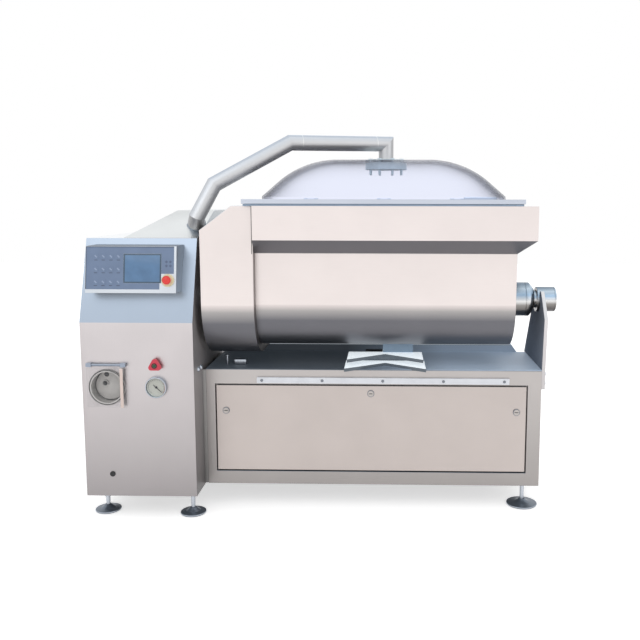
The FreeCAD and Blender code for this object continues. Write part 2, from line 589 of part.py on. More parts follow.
def casing_solid(wall):
    """Gear casing: round bottoms joined by a level floor, with a sloped top corner."""
    x0, x1 = f"casing_left + {wall}", f"trough_left - {wall}"
    radius = f"casing_radius - {wall}"
    block = between(x0, x1, f"axis_y - ({radius})", f"rear_axis_y + {radius}", "axis_z",
                    f"rim_z - {wall}")
    middle = between(x0, x1, "axis_y", "rear_axis_y", f"axis_z - ({radius})", "axis_z + 1")
    body = fuse(block, middle, rod("X", x0, "axis_y", "axis_z", radius, f"{x1} - ({x0})"),
                rod("X", x0, "rear_axis_y", "axis_z", radius, f"{x1} - ({x0})"))
    fall = "5 * casing_chamfer_drop / casing_chamfer_run"
    corner = [(f"casing_left - 5 + {wall}", f"rim_z - casing_chamfer_drop - {wall} * 1.3 - {fall}"),
              (f"casing_left - 5 + {wall}", "rim_z + 50"),
              (f"casing_left + casing_chamfer_run + {wall} * 0.3", "rim_z + 50"),
              (f"casing_left + casing_chamfer_run + {wall} * 0.3", f"rim_z - {wall} * 0.9")]
    return cut(body, prism("Y", corner, "band_front - 50", "band_rear - band_front + 100"))


def casing():
    """Hollow gear casing on the trough's left end, its rear bearing boss and shaft seals."""
    holes = shaft_holes("shaft_radius + shaft_fit", "casing_left - 5", "casing_wall + 10")[:1]
    inner_holes = shaft_holes("shaft_radius + seal_ring", "trough_left - casing_wall - 5",
                              "casing_wall + 10")
    node("drive_casing", cut(casing_solid("0"), casing_solid("casing_wall"), *holes, *inner_holes))
    boss = cut(rod("X", "casing_left + casing_wall", "rear_axis_y", "axis_z", "bearing_cup_radius", "40"),
               rod("X", "casing_left + casing_wall + 6", "rear_axis_y", "axis_z",
                   "shaft_radius + shaft_fit", "60"))
    seals = [cut(rod("X", "trough_left - casing_wall", y, "axis_z", "shaft_radius + seal_ring",
                     "casing_wall + end_wall"),
                 rod("X", "trough_left - casing_wall - 1", y, "axis_z", "shaft_radius + shaft_fit",
                     "casing_wall + end_wall + 2"))
             for y in ("axis_y", "rear_axis_y")]
    node("shaft_seals", group(*seals))
    cup = cut(rod("X", "trough_right", "rear_axis_y", "axis_z", "bearing_cup_radius",
                  "bearing_cup_length"),
              rod("X", "trough_right - 1", "rear_axis_y", "axis_z", "end_journal + end_fit",
                  "bearing_cup_length - 7"))
    node("rear_shaft_bearings", group(boss, cup))


def left_trunnion():
    """Hollow trunnion from the casing into the cabinet, with the tilt wheel on it."""
    tube_left = "stand_left - bearing_length + cab_skin"
    tube = rod("X", tube_left, "axis_y", "axis_z", "trunnion_radius", f"casing_left - ({tube_left})")
    disc = rod("X", "casing_left - flange_disc", "axis_y", "axis_z", "trunnion_flange", "flange_disc")
    bore = rod("X", tube_left + " - 1", "axis_y", "axis_z", "shaft_radius + shaft_fit", "400")
    node("left_trunnion", cut(fuse(tube, disc), bore))
    wheel = feature(gear_shape(value("tilt_module"), value("tilt_teeth"), value("tilt_face"),
                               value("trunnion_radius"), 1.0))
    turn = FreeCAD.Rotation(V(1, 0, 0), -value("pinion_angle")) * FreeCAD.Rotation(V(1, 1, 1), 120)
    wheel.Placement = FreeCAD.Placement(V(value("stand_right + 12"), value("axis_y"), value("axis_z")), turn)
    node("tilt_wheel", wheel)


def tilt_drive():
    """Bearing stand, pinion and gearmotor that tilt the trough."""
    stand = between("stand_left", "stand_right", "axis_y - stand_width / 2", "axis_y + stand_width / 2",
                    "cab_bottom + cab_floor_thick", "stand_top")
    foot = between("stand_left - 60", "stand_right + 30", "axis_y - stand_width / 2",
                   "axis_y + stand_width / 2", "cab_bottom + cab_floor_thick",
                   "cab_bottom + cab_floor_thick + 12")
    hole = rod("X", "stand_left - 5", "axis_y", "axis_z", "bearing_radius - 14", "60")
    pinion_hole = rod("X", "stand_left - 5", "pinion_y", "pinion_z", "pinion_shaft + 6", "60")
    stand = cut(fuse(stand, foot), hole, pinion_hole)
    bearing = fuse(rod("X", "stand_left - bearing_length", "axis_y", "axis_z", "bearing_radius",
                       "bearing_length"),
                   rod("X", "stand_left - 1", "axis_y", "axis_z", "bearing_radius - 14",
                       "stand_thick + 1"))
    bore = rod("X", "stand_left - bearing_length - 1", "axis_y", "axis_z",
               "trunnion_radius + bearing_fit", "120")
    node("bearing_stand", group(stand, cut(bearing, bore)))
    gear = gear_shape(value("tilt_module"), value("pinion_teeth"), value("tilt_face"), 1, 1.0)
    gear = gear.fuse(Part.makeCylinder(value("pinion_shaft"), value("stand_thick + 12 + 40"),
                                       V(0, 0, -value("stand_thick + 12 + 40"))))
    gear = gear.fuse(Part.makeCylinder(2, value("tilt_face")))
    pinion = feature(gear)
    half_tooth = 180 / value("pinion_teeth")
    turn = (FreeCAD.Rotation(V(1, 0, 0), 180 - value("pinion_angle") + half_tooth)
            * FreeCAD.Rotation(V(1, 1, 1), 120))
    pinion.Placement = FreeCAD.Placement(V(value("stand_right + 12"), value("pinion_y"),
                                           value("pinion_z")), turn)
    node("tilt_pinion", pinion)
    half = "tilt_box / 2"
    gearbox = cut(between("stand_left - tilt_box", "stand_left", f"pinion_y - {half}", f"pinion_y + {half}",
                          f"pinion_z - {half}", f"pinion_z + {half}"),
                  rod("X", "stand_left - 45", "pinion_y", "pinion_z", "pinion_shaft + bearing_fit", "60"))
    motor = rod("X", "stand_left - tilt_box - tilt_motor_length", "pinion_y", "pinion_z",
                "tilt_motor_radius", "tilt_motor_length")
    node("tilt_gearmotor", fuse(gearbox, motor))


def main_drive():
    """Shaft-mounted gearbox and motor that turn the front agitator."""
    right = "stand_left - bearing_length"
    box_part = between(f"{right} - gearbox_length", right, "axis_y - gearbox_width / 2",
                       "axis_y + gearbox_width / 2", "axis_z - gearbox_height / 2",
                       "axis_z + gearbox_height / 2")
    bore = rod("X", f"{right} - gearbox_length + 30", "axis_y", "axis_z", "shaft_radius + shaft_fit", "400")
    motor = rod("Y", f"{right} - gearbox_length / 2", "axis_y + gearbox_width / 2", "axis_z",
                "motor_radius", "motor_length")
    node("main_gearmotor", fuse(cut(box_part, bore), motor))


# Agitators
def agitator(y, left, hand):
    """Shaft with angled paddle blades on radial arms."""
    start = "trough_left + end_wall"
    parts = [rod("X", left, y, "axis_z", "shaft_radius", f"trough_right - end_wall - 1 - ({left})"),
             rod("X", "trough_right - end_wall - 2", y, "axis_z", "end_journal", "bearing_cup_length - 10")]
    count = int(value("paddle_count"))
    for index in range(count):
        x = f"{start} + (trough_length - 2 * end_wall) * {2 * index + 1} / {2 * count}"
        angle = 97 + hand * index * 120
        for half_turn in (0, 180):
            across = f"{angle + half_turn}"
            arm = doc.addObject("Part::Cylinder", "Arm")
            arm.setExpression("Radius", bound("arm_radius"))
            arm.setExpression("Height", bound("agitator_radius - blade_height / 2"))
            blade = doc.addObject("Part::Box", "Blade")
            for prop, text in (("Length", "blade_length"), ("Width", "blade_thick"),
                               ("Height", "blade_height")):
                blade.setExpression(prop, bound(text))
            spin = FreeCAD.Rotation(V(1, 0, 0), float(across))
            arm.Placement.Rotation = spin
            at(arm, x, y, "axis_z")
            slant = hand * value("blade_angle") * (1 if half_turn == 0 else -1)
            blade.Placement.Rotation = spin * FreeCAD.Rotation(V(0, 0, 1), slant)
            reach = value("agitator_radius - blade_height") * 1.0
            offset = blade.Placement.Rotation.multVec(
                V(-value("blade_length") / 2, -value("blade_thick") / 2, reach - 6))
            at(blade, f"{x} + {offset.x}", f"{y} + {offset.y}", f"axis_z + {offset.z}")
            parts += [arm, blade]
    return fuse(*parts)


def agitators():
    """Front and rear agitators and the gears that turn them together."""
    gearbox_end = "stand_left - bearing_length - gearbox_length + 31"
    node("agitator_front", agitator("axis_y", gearbox_end, 1))
    node("agitator_rear", agitator("rear_axis_y", "casing_left + casing_wall + 7", -1))
    for name, y, extra in (("gear_front", "axis_y", 0.0), ("gear_rear", "rear_axis_y", 180.0)):
        gear = feature(gear_shape(value("drive_module"), value("drive_teeth"), value("drive_face"),
                                  value("shaft_radius"), 0.5))
        half_tooth = 0 if extra == 0 else 180 / value("drive_teeth")
        turn = FreeCAD.Rotation(V(1, 0, 0), extra + half_tooth) * FreeCAD.Rotation(V(1, 1, 1), 120)
        gear.Placement = FreeCAD.Placement(V(value("gear_left"), value(y), value("axis_z")), turn)
        node(name, gear)


# Lid
def dome_profile(wall):
    """Side outline of half the dome from its edge to its level top, drawn in by a wall."""
    height, reach = value("dome_height"), value("dome_reach")
    step, slope = value("dome_step"), math.radians(value("dome_slope"))
    rise = math.tan(slope)
    radius = (step + rise * reach - height) / (rise * math.sin(slope) - (1 - math.cos(slope)))
    centre = V(-reach, 0, height - radius)
    bend = radius - wall
    join = centre + V(radius * math.sin(slope), 0, radius * math.cos(slope)) if wall == 0 else None
    knee = centre + V(bend * math.sin(slope), 0, bend * math.cos(slope))
    middle = centre + V(bend * math.sin(slope / 2), 0, bend * math.cos(slope / 2))
    top = centre + V(0, 0, bend)
    edge_height = (knee.z + (knee.x + wall) * rise)
    edge = V(-wall, 0, edge_height)
    return edge, (join or knee), middle, top


def dome_solid(wall, foot):
    """Rectangular dome with quarter-round corners."""
    edge, knee, middle, top = dome_profile(wall)
    reach = value("dome_reach")
    lines = [Part.LineSegment(V(-reach, 0, foot), V(-wall, 0, foot)).toShape(),
             Part.LineSegment(V(-wall, 0, foot), edge).toShape(),
             Part.LineSegment(edge, knee).toShape(),
             Part.Arc(knee, middle, top).toShape(),
             Part.LineSegment(top, V(-reach, 0, foot)).toShape()]
    face = Part.Face(Part.Wire(lines))
    half_x = value("(lid_right - lid_left) / 2 - dome_inset")
    half_y = value("(lid_rear - lid_front) / 2 - dome_inset")
    core_x, core_y = half_x - reach, half_y - reach
    solids = []
    for index in range(4):
        turn = 90 * index
        along, across = (core_x, core_y) if index % 2 == 0 else (core_y, core_x)
        side = face.copy()
        side.translate(V(along + reach, -across, 0))
        side = side.extrude(V(0, 2 * across, 0))
        side.rotate(V(), V(0, 0, 1), turn)
        corner = face.copy()
        corner.translate(V(reach, 0, 0))
        corner = corner.revolve(V(), V(0, 0, 1), 90)
        corner.translate(V(along, across, 0))
        corner.rotate(V(), V(0, 0, 1), turn)
        solids += [side, corner]
    solids.append(Part.makeBox(2 * core_x, 2 * core_y, top.z - foot, V(-core_x, -core_y, foot)))
    whole = solids[0].multiFuse(solids[1:]).removeSplitter()
    return whole.Solids[0]


def lid():
    """Lid frame, clear dome, pipe flange and the clamp disc below it."""
    place = V(value("lid_mid_x"), value("lid_mid_y"), value("lid_top"))
    hole = V(value("trough_mid_x - lid_mid_x"), 0, 0)
    bore = value("pipe_radius - pipe_wall")
    shell = dome_solid(0, 0).cut(dome_solid(value("dome_wall"), -1))
    shell = shell.cut(Part.makeCylinder(value("pipe_radius"), 400, hole + V(0, 0, 100)))
    shell.translate(place)
    opening = dome_solid(value("dome_wall"), -40).copy()
    opening = opening.common(Part.makeBox(2000, 2000, 40, V(-1000, -1000, -39)))
    opening.translate(place)
    plate = Part.makeBox(value("lid_right - lid_left"), value("lid_rear - lid_front"), value("lid_thick"),
                         V(value("lid_left"), value("lid_front"), value("lid_low")))
    node("lid_frame", fuse(feature(plate.cut(opening)), *lid_arms()))
    top = value("dome_top")
    axis = V(value("trough_mid_x"), value("lid_mid_y"), 0)
    flange = Part.makeCylinder(value("flange_radius"), value("flange_thick"), axis + V(0, 0, top))
    flange = flange.cut(Part.makeCylinder(value("pipe_radius"), 60, axis + V(0, 0, top - 5)))
    under = top - value("dome_wall")
    low = under - value("disc_thick") - 4
    disc = Part.makeCylinder(value("disc_radius"), value("disc_thick"), axis + V(0, 0, low))
    disc = disc.fuse(Part.makeCylinder(value("disc_radius") - 46, 4, axis + V(0, 0, under - 4)))
    disc = disc.cut(Part.makeCylinder(bore, 100, axis + V(0, 0, under - 60)))
    bolts = []
    for index in range(int(value("bolt_count"))):
        angle = 2 * math.pi * (index + 0.5) / value("bolt_count")
        spot = axis + V(value("bolt_circle") * math.cos(angle), value("bolt_circle") * math.sin(angle), 0)
        length = top + value("flange_thick") + value("bolt_drop") - low
        shank = Part.makeCylinder(value("bolt_radius"), length, spot + V(0, 0, low - value("bolt_drop")))
        head = Part.makeCylinder(value("bolt_radius") * 1.8, 5, spot + V(0, 0, top + value("flange_thick")))
        bolts.append(shank.fuse(head))
        disc, flange, shell = disc.cut(shank), flange.cut(shank), shell.cut(shank)
    node("clamp_rings", feature(Part.makeCompound([disc, flange])))
    node("lid_bolts", feature(Part.makeCompound(bolts)))
    node("lid_dome", feature(shell))


def pipe_points():
    """Corners of the vacuum pipe from the dome down to the port."""
    def spot(x, y, z):
        return V(value(x), value(y), value(z))
    angle = math.radians(value("port_angle"))
    foot = spot("cab_left + pipe_foot_in", "front + pipe_foot_back", "pipe_foot_z")
    tail = foot + V(0, math.cos(angle), -math.sin(angle)) * value("pipe_foot_tail")
    drop = spot("cab_left + pipe_drop_in", "front + pipe_drop_back", "pipe_drop_z")
    back = value("pipe_elbow")
    return [spot("trough_mid_x", "lid_mid_y", "dome_top - dome_wall"),
            spot("trough_mid_x", "lid_mid_y", "pipe_top_z + pipe_rise"),
            spot("cab_left + pipe_bend_in", "front + pipe_bend_back", "pipe_top_z"),
            drop, foot + (drop - foot).normalize() * back, foot + (tail - foot).normalize() * back, tail]


def vacuum_pipe():
    """Stainless pipe with mitred bends and the port that it docks on."""
    points = pipe_points()
    radius, bore = value("pipe_radius"), value("pipe_radius - pipe_wall")
    node("vacuum_pipe", feature(tube_run(points, radius).cut(tube_run(points, bore))))
    aim = (points[-1] - points[-2]).normalize()
    face = points[-1] + aim * value("port_gap")
    ring = Part.makeCylinder(radius, value("port_gasket"), face, aim)
    ring = ring.cut(Part.makeCylinder(bore, value("port_gasket"), face, aim))
    seat = face + aim * value("port_gasket")
    turn = seat + aim * 18
    inner = V(value("cab_left + port_inset"), turn.y + 120, turn.z - 34)
    run = [seat, turn, inner]
    stub = tube_run(run, radius - 3).cut(tube_run(run, bore - 3))
    stub = stub.fuse(Part.makeCylinder(radius, 6, seat, aim)).cut(Part.makeCylinder(bore - 3, 7, seat, aim))
    hood = NODES["cabinet_hood"]
    doc.recompute()
    reach = tube_run(run, radius - 3)
    shape = hood.Shape.cut(reach)
    hood_cut = feature(shape)
    node("cabinet_hood", hood_cut)
    wider = tube_run(run, radius - 2.5).fuse(Part.makeCylinder(radius + 0.5, 7, seat - aim * 0.5, aim))
    node("cabinet_shell", feature(NODES["cabinet_shell"].Shape.cut(wider)))
    node("vacuum_port", feature(Part.makeCompound([stub, ring])))


HINGE_PLACES = ("lid_left + hinge_inset", "lid_mid_x", "lid_right - hinge_inset")


def lid_arms():
    """Hinge eyes on straps behind the lid."""
    arms = []
    for x in HINGE_PLACES:
        eye = rod("X", f"{x} - hinge_arm_width / 2", "hinge_y", "hinge_z", "hinge_eye_radius",
                  "hinge_arm_width")
        strap = between(f"{x} - hinge_arm_width / 2", f"{x} + hinge_arm_width / 2", "lid_rear", "hinge_y",
                        "lid_low", "lid_top")
        arms.append(cut(fuse(eye, strap), rod("X", f"{x} - hinge_arm_width", "hinge_y", "hinge_z",
                                              "hinge_pin_radius", "2 * hinge_arm_width")))
    return arms


def lid_hinge():
    """Lugs on the trough's rear band, the hinge pin between them and a rotary actuator."""
    lugs = []
    arm, lug, gap = "hinge_arm_width", "hinge_lug_width", "hinge_side_gap"
    outline = [("band_rear", "band_low + 20"), ("band_rear", "hinge_z - 20"),
               ("hinge_y - hinge_eye_radius", "hinge_z"), ("hinge_y + hinge_eye_radius", "hinge_z"),
               ("hinge_y + hinge_eye_radius", "band_low + 90")]
    for x in HINGE_PLACES:
        for side in (-1, 1):
            start = f"{x} + {side} * ({arm} / 2 + {gap} + {lug} / 2) - {lug} / 2"
            lugs.append(cut(fuse(prism("X", outline, start, lug),
                                 rod("X", start, "hinge_y", "hinge_z", "hinge_eye_radius", lug)),
                            rod("X", f"{start} - 5", "hinge_y", "hinge_z", "hinge_pin_radius + hinge_fit",
                                f"{lug} + 10")))
    node("hinge_lugs", group(*lugs))
    left = f"lid_left + hinge_inset - {arm} / 2 - {gap} - {lug}"
    inner = f"lid_right - hinge_inset + {arm} / 2 + {gap} + {lug}"
    node("hinge_pin", rod("X", left + " - 8", "hinge_y", "hinge_z", "hinge_pin_radius",
                          f"{inner} + 50 - ({left}) + 8"))
    rear = "hinge_y + actuator_radius"
    body = fuse(rod("X", inner, "hinge_y", "hinge_z", "actuator_radius", "actuator_length"),
                between(inner, f"{inner} + actuator_length", f"{rear} - 13", rear, "hinge_z - 60",
                        "hinge_z"),
                between(inner, f"{inner} + actuator_length", "band_rear", rear, "hinge_z - 60",
                        "hinge_z - 38"))
    node("lid_actuator", cut(body, rod("X", f"{inner} - 5", "hinge_y", "hinge_z",
                                       "hinge_pin_radius + hinge_fit", "70")))


# Operator panel
def on_face(thing, across, out, up):
    """Place an object on the leaning front of the operator panel."""
    at(thing, f"hmi_left + {across}", f"hmi_y + ({out}) * cos(hmi_lean) + ({up}) * sin(hmi_lean)",
       f"hmi_low_z - ({out}) * sin(hmi_lean) + ({up}) * cos(hmi_lean)")
    return thing


def face_block(across, out, up, width, depth, height):
    """Block that leans with the operator panel's front."""
    thing = doc.addObject("Part::Box", "Block")
    for prop, text in (("Length", width), ("Width", depth), ("Height", height)):
        thing.setExpression(prop, bound(text))
    on_face(thing, across, out, up)
    return turned(thing, V(-1, 0, 0), "hmi_lean")


def face_rod(across, out, up, radius, length):
    """Cylinder square to the operator panel's front, growing outwards."""
    thing = doc.addObject("Part::Cylinder", "Rod")
    thing.setExpression("Radius", bound(radius))
    thing.setExpression("Height", bound(length))
    on_face(thing, across, out, up)
    return turned(thing, V(1, 0, 0), "90 - hmi_lean")


def operator_panel():
    """Box with a film keypad, a screen and the emergency stop."""
    top = "hmi_low_z + hmi_height"
    outline = [("hmi_y", "hmi_low_z"), ("hmi_y + hmi_lean_back", top), (console_y(top), top),
               (console_y("hmi_low_z"), "hmi_low_z")]
    case = prism("X", outline, "hmi_left", "hmi_width")
    hole = face_rod("estop_in", "40", "estop_up", "stem_radius + estop_fit", "80")
    node("hmi_box", cut(case, hole))
    film = face_block("film_side", "-film_thick", "film_low", "hmi_width - film_side - film_right",
                      "film_thick", "hmi_face - film_low - film_top")
    patch = face_block("hmi_width - patch_width - 6", "-film_thick - 1", "0", "patch_width + 20", "3",
                       "patch_height + 8")
    around = face_rod("estop_in", "2", "estop_up", "ring_radius + 0.5", "6")
    window = face_block("screen_in", "-film_thick - 1", "screen_low", "screen_width", "3", "screen_height")
    node("hmi_screen", face_block("screen_in", "-film_thick * 0.6", "screen_low", "screen_width",
                                  "film_thick * 0.6", "screen_height"))
    keys = []
    for column in range(4):
        for line in range(3):
            keys.append(face_block(f"key_in + {column} * key_pitch - key_size / 2",
                                   "-film_thick - key_high",
                                   f"key_low + {line} * key_rise - key_size / 2", "key_size", "key_high",
                                   "key_size"))
    node("hmi_film", fuse(cut(film, patch, around, window), *keys))
    ring = cut(face_rod("estop_in", "0", "estop_up", "ring_radius", "ring_height"),
               face_rod("estop_in", "5", "estop_up", "stem_radius + estop_fit", "20"))
    node("estop_ring", ring)
    stem = face_rod("estop_in", "24", "estop_up", "stem_radius", "24 + ring_height + cap_lift + 1")
    cap = face_rod("estop_in", "-ring_height - cap_lift", "estop_up", "cap_radius", "cap_height")
    node("estop_button", fuse(stem, cap))


# Cabinet front fittings
def vacuum_trap():
    """Round trap bowl behind a clear square cover that hinges at its top edge."""
    x, z = "cab_left + trap_in", "trap_z"
    bowl = fuse(rod("Y", x, "front - trap_lip", z, "trap_radius", "trap_lip"),
                rod("Y", x, "front - 1", z, "trap_inner + trap_lip / 2", "trap_depth"))
    hollow = rod("Y", x, "front - trap_lip - 1", z, "trap_inner", "trap_depth - 3 + trap_lip")
    boss = rod("Y", f"{x} - 20", "front + trap_depth - 30", f"{z} + 12", "15", "28")
    outlet = rod("Y", f"{x} + 4", "front + trap_depth - 15", f"{z} + 52", "9", "30")
    spout = cut(rod("Y", f"{x} - 20", "front + trap_depth - 60", f"{z} + 12", "15", "40"),
                rod("Y", f"{x} - 20", "front + trap_depth - 61", f"{z} + 12", "11", "39"))
    node("trap_bowl", fuse(cut(bowl, hollow, outlet), boss, spout))
    y = "front - trap_lip - cover_gap - cover_thick"
    sheet_part = box("cover_left", y, "cover_top_z - cover_height", "cover_width", "cover_thick",
                     "cover_height - 14")
    knuckle = rod("X", "cover_left + 26", f"{y} + cover_thick / 2", "cover_top_z", "rod_radius + 5",
                  "cover_width - 52")
    tab = box("cover_left + 26", y, "cover_top_z - 16", "cover_width - 52", "cover_thick", "16")
    bore = rod("X", "cover_left - 5", f"{y} + cover_thick / 2", "cover_top_z", "rod_radius + rod_fit",
               "cover_width + 10")
    strip = box("cover_left + cover_width - 26", f"{y} - 2", "cover_top_z - cover_height", "14", "2",
                "cover_height - 14")
    node("trap_cover", group(cut(fuse(sheet_part, tab, knuckle), bore), strip))
    ends = [box(f"cover_left + {start}", f"{y} - 4", "cover_top_z - 9", "24.5", f"front - ({y}) + 4", "18")
            for start in ("0", "cover_width - 24.5")]
    node("cover_hinge", fuse(rod("X", "cover_left", f"{y} + cover_thick / 2", "cover_top_z", "rod_radius",
                                 "cover_width"), *ends))


def valve_and_gauge():
    """Vent valve with a three-lobed knob, dial gauge and blanking plug."""
    x, z = "cab_left + knob_in", "knob_z"
    body = cut(rod("Y", x, "front - valve_height", z, "valve_radius", "valve_height + 40"),
               rod("Y", x, "front - valve_height - 1", z, "9 + rod_fit", "32"))
    node("valve_body", body)
    lobes, sides = [], []
    face = "front - valve_height - lid_gap - knob_thick"
    for index in range(3):
        turn = math.radians(90 + 120 * index)
        spot = (f"{x} + knob_reach * {math.cos(turn):.6f}", f"{z} + knob_reach * {math.sin(turn):.6f}")
        lobes.append(rod("Y", spot[0], face, spot[1], "knob_lobe", "knob_thick"))
        for lean in (turn - math.pi / 3, turn + math.pi / 3):
            sides.append((f"{spot[0]} + knob_lobe * {math.cos(lean):.6f}",
                          f"{spot[1]} + knob_lobe * {math.sin(lean):.6f}"))
    hub = prism("Y", sides, face, "knob_thick")
    stem = rod("Y", x, "front - valve_height - lid_gap - 2", z, "9", "30")
    button = rod("Y", x, f"{face} - 3", z, "13", "4")
    node("valve_knob", fuse(hub, stem, button, *lobes))
    x, z = "cab_left + gauge_in", "gauge_z"
    case = cut(rod("Y", x, "front - gauge_height", z, "gauge_radius", "gauge_height"),
               rod("Y", x, "front - gauge_height - 1", z, "gauge_radius - 5", "gauge_height - 3"))
    node("gauge_case", fuse(case, rod("Y", x, "front - 1", z, "10", "31"),
                            rod("Y", x, "front - 5", z, "gauge_radius - 5", "3")))
    node("gauge_lens", rod("Y", x, "front - gauge_height + 1", z, "gauge_radius - 5", "3"))
    length = value("needle_length")
    pointer = Part.makeBox(length * 1.5, 1.5, 2.4, V(-length * 0.5, 0, -1.2))
    pointer.rotate(V(), V(0, 1, 0), 42)
    pointer.translate(V(value(x), value("front - 10"), value(z)))
    hub = rod("Y", x, "front - 10", z, "5", "4.7")
    node("gauge_needle", fuse(feature(pointer), hub))
    node("blanking_plug", fuse(rod("Y", "cab_left + plug_in", "front - 4", "plug_z", "plug_radius + 2", "4"),
                               rod("Y", "cab_left + plug_in", "front - 1", "plug_z", "plug_radius", "14")))


# Levelling feet
def foot(x, y, radius, bottom, hexagon):
    """Dished disc and threaded stud under a corner."""
    px, py = value(x), value(y)
    high, stud = value("foot_height"), value("stud_radius")
    disc = revolved([(0, 0), (radius - 4, 0), (radius, 5), (radius - 2, 10), (radius * 0.55, 13),
                     (stud * 2.2, high), (stud * 1.5, high + 8), (0, high + 8)], px, py, 0, "Z")
    top = value(bottom)
    parts = [Part.makeCylinder(stud, top - high - 8, V(px, py, high + 8))]
    nut = value("nut_height")
    if hexagon:
        corners = [V(px + value("nut_radius") * math.cos(math.radians(60 * step)),
                     py + value("nut_radius") * math.sin(math.radians(60 * step)), top - nut - 18)
                   for step in range(6)]
        parts.append(Part.Face(Part.makePolygon(corners + [corners[0]])).extrude(V(0, 0, nut)))
    else:
        parts.append(Part.makeCone(stud, stud * 2.4, nut * 0.8, V(px, py, top - nut * 0.8)))
    return disc, feature(parts[0].fuse(parts[1]))


def feet():
    """Four feet under the cabinet and two under the right end of the base."""
    pairs = [foot("cab_left + foot_inset", y, value("foot_radius"), "cab_bottom", True)
             for y in ("front + foot_back + foot_left_back", "cab_rear - foot_back")]
    pairs += [foot("cab_right - foot_right_in", y, value("foot_radius"), "cab_bottom", False)
              for y in ("front + foot_back", "cab_rear - foot_back")]
    pairs += [foot("base_right - base_foot_inset", y, value("base_foot_radius"), "base_bottom", False)
              for y in ("base_front + base_foot_back", "base_rear - base_foot_back")]
    node("foot_discs", group(*[disc for disc, _ in pairs]))
    node("foot_studs", group(*[stud for _, stud in pairs]))


# Vacuum pump set
def pump_set():
    """Rotary vacuum pump, coupling and motor on the base floor."""
    left, y = "base_left + pump_in", "base_front + pump_back"
    floor = "base_bottom + floor_thick"
    centre_z = f"{floor} + pump_height / 2"
    body = between(left, f"{left} + pump_length", y, f"{y} + pump_width", floor, f"{floor} + pump_height")
    bore = rod("X", f"{left} + pump_length - 30", f"{y} + pump_width / 2", centre_z, "12 + bearing_fit", "40")
    pump = cut(body, bore)
    gap_left = f"{left} + pump_length"
    shaft = fuse(rod("X", f"{gap_left} - 28", f"{y} + pump_width / 2", centre_z, "12", "pump_gap + 56"),
                 rod("X", f"{gap_left} + 8", f"{y} + pump_width / 2", centre_z, "coupling_radius",
                     "pump_gap - 16"))
    node("pump_coupling", shaft)
    motor_left = f"{gap_left} + pump_gap"
    motor = rod("X", motor_left, f"{y} + pump_width / 2", centre_z, "pump_motor_radius",
                "pump_motor_length")
    seat = between(f"{motor_left} + 30", f"{motor_left} + pump_motor_length - 30",
                   f"{y} + pump_width / 2 - 80", f"{y} + pump_width / 2 + 80", floor, centre_z)
    bore = rod("X", f"{motor_left} - 5", f"{y} + pump_width / 2", centre_z, "12 + bearing_fit", "40")
    node("pump_set", group(pump, cut(fuse(motor, seat), bore)))


def build():
    """Make every sub-part, check it and write it out."""
    for make in (cabinet_shell, cabinet_hood, base_frame, deck, access_panel, bumper, ledges, end_plate,
                 right_trunnion, trough, casing, left_trunnion, tilt_drive, main_drive, agitators, lid,
                 vacuum_pipe, lid_hinge, operator_panel, vacuum_trap, valve_and_gauge, feet, pump_set):
        make()
    doc.recompute()
    for thing in doc.Objects:
        if "Invalid" in thing.State or "Error" in thing.State:
            raise RuntimeError(f"{thing.Name} ({thing.Label}) failed: {thing.State}")
    os.makedirs("parts", exist_ok=True)
    for name, thing in NODES.items():
        shape = thing.Shape
        if shape.isNull() or not shape.isValid() or not shape.Solids:
            raise RuntimeError(f"{name} has no valid solid")
        shape.exportStep(f"parts/{name}.step")
    print(len(NODES), "sub-parts written")


build()
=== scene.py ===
"""Dress a tilting twin-shaft vacuum meat mixer: finishes, welds, fasteners and small fittings."""
from __future__ import annotations

import json
import logging
import math
from dataclasses import dataclass, field
from enum import Enum
from typing import Iterable, Sequence

import bmesh
import bpy
from mathutils import Matrix, Vector

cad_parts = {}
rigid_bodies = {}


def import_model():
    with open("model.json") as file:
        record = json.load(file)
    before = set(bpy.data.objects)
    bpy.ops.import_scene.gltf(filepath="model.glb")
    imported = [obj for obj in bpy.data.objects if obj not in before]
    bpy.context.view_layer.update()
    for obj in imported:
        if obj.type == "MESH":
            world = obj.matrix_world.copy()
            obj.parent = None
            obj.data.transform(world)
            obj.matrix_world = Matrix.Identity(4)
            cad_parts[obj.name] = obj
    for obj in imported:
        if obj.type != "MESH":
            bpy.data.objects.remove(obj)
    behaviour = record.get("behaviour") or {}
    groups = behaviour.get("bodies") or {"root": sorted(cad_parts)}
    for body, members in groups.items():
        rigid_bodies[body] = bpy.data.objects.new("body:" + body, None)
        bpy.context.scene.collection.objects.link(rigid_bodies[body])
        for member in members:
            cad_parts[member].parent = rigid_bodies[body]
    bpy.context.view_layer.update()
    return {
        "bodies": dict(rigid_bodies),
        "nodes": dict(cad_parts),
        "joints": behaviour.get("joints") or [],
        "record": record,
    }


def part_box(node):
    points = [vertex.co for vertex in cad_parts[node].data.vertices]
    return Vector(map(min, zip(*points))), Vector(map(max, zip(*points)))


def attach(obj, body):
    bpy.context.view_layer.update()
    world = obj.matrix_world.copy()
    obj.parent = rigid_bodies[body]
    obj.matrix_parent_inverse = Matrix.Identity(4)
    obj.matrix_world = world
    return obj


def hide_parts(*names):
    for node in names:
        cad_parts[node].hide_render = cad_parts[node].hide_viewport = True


LOG = logging.getLogger("vacuum_mixer")
MM = 0.001
# Points of the CAD triangles nearer to each other than this, in metres, are one point
SAME_POINT = 2e-6
Profile = Sequence[tuple[float, float]]
Tones = tuple[tuple[float, str], ...]


class Axis(Enum):
    """Directions that round pieces are turned about."""

    X = Vector((1.0, 0.0, 0.0))
    Y = Vector((0.0, 1.0, 0.0))
    Z = Vector((0.0, 0.0, 1.0))


class Grain(Enum):
    """Direction of the brushing lines on a sheet, as stretch factors of the noise."""

    ALONG_X = (0.02, 1.0, 1.0)
    ALONG_Z = (1.0, 1.0, 0.02)
    ALL_WAYS = (1.0, 1.0, 1.0)


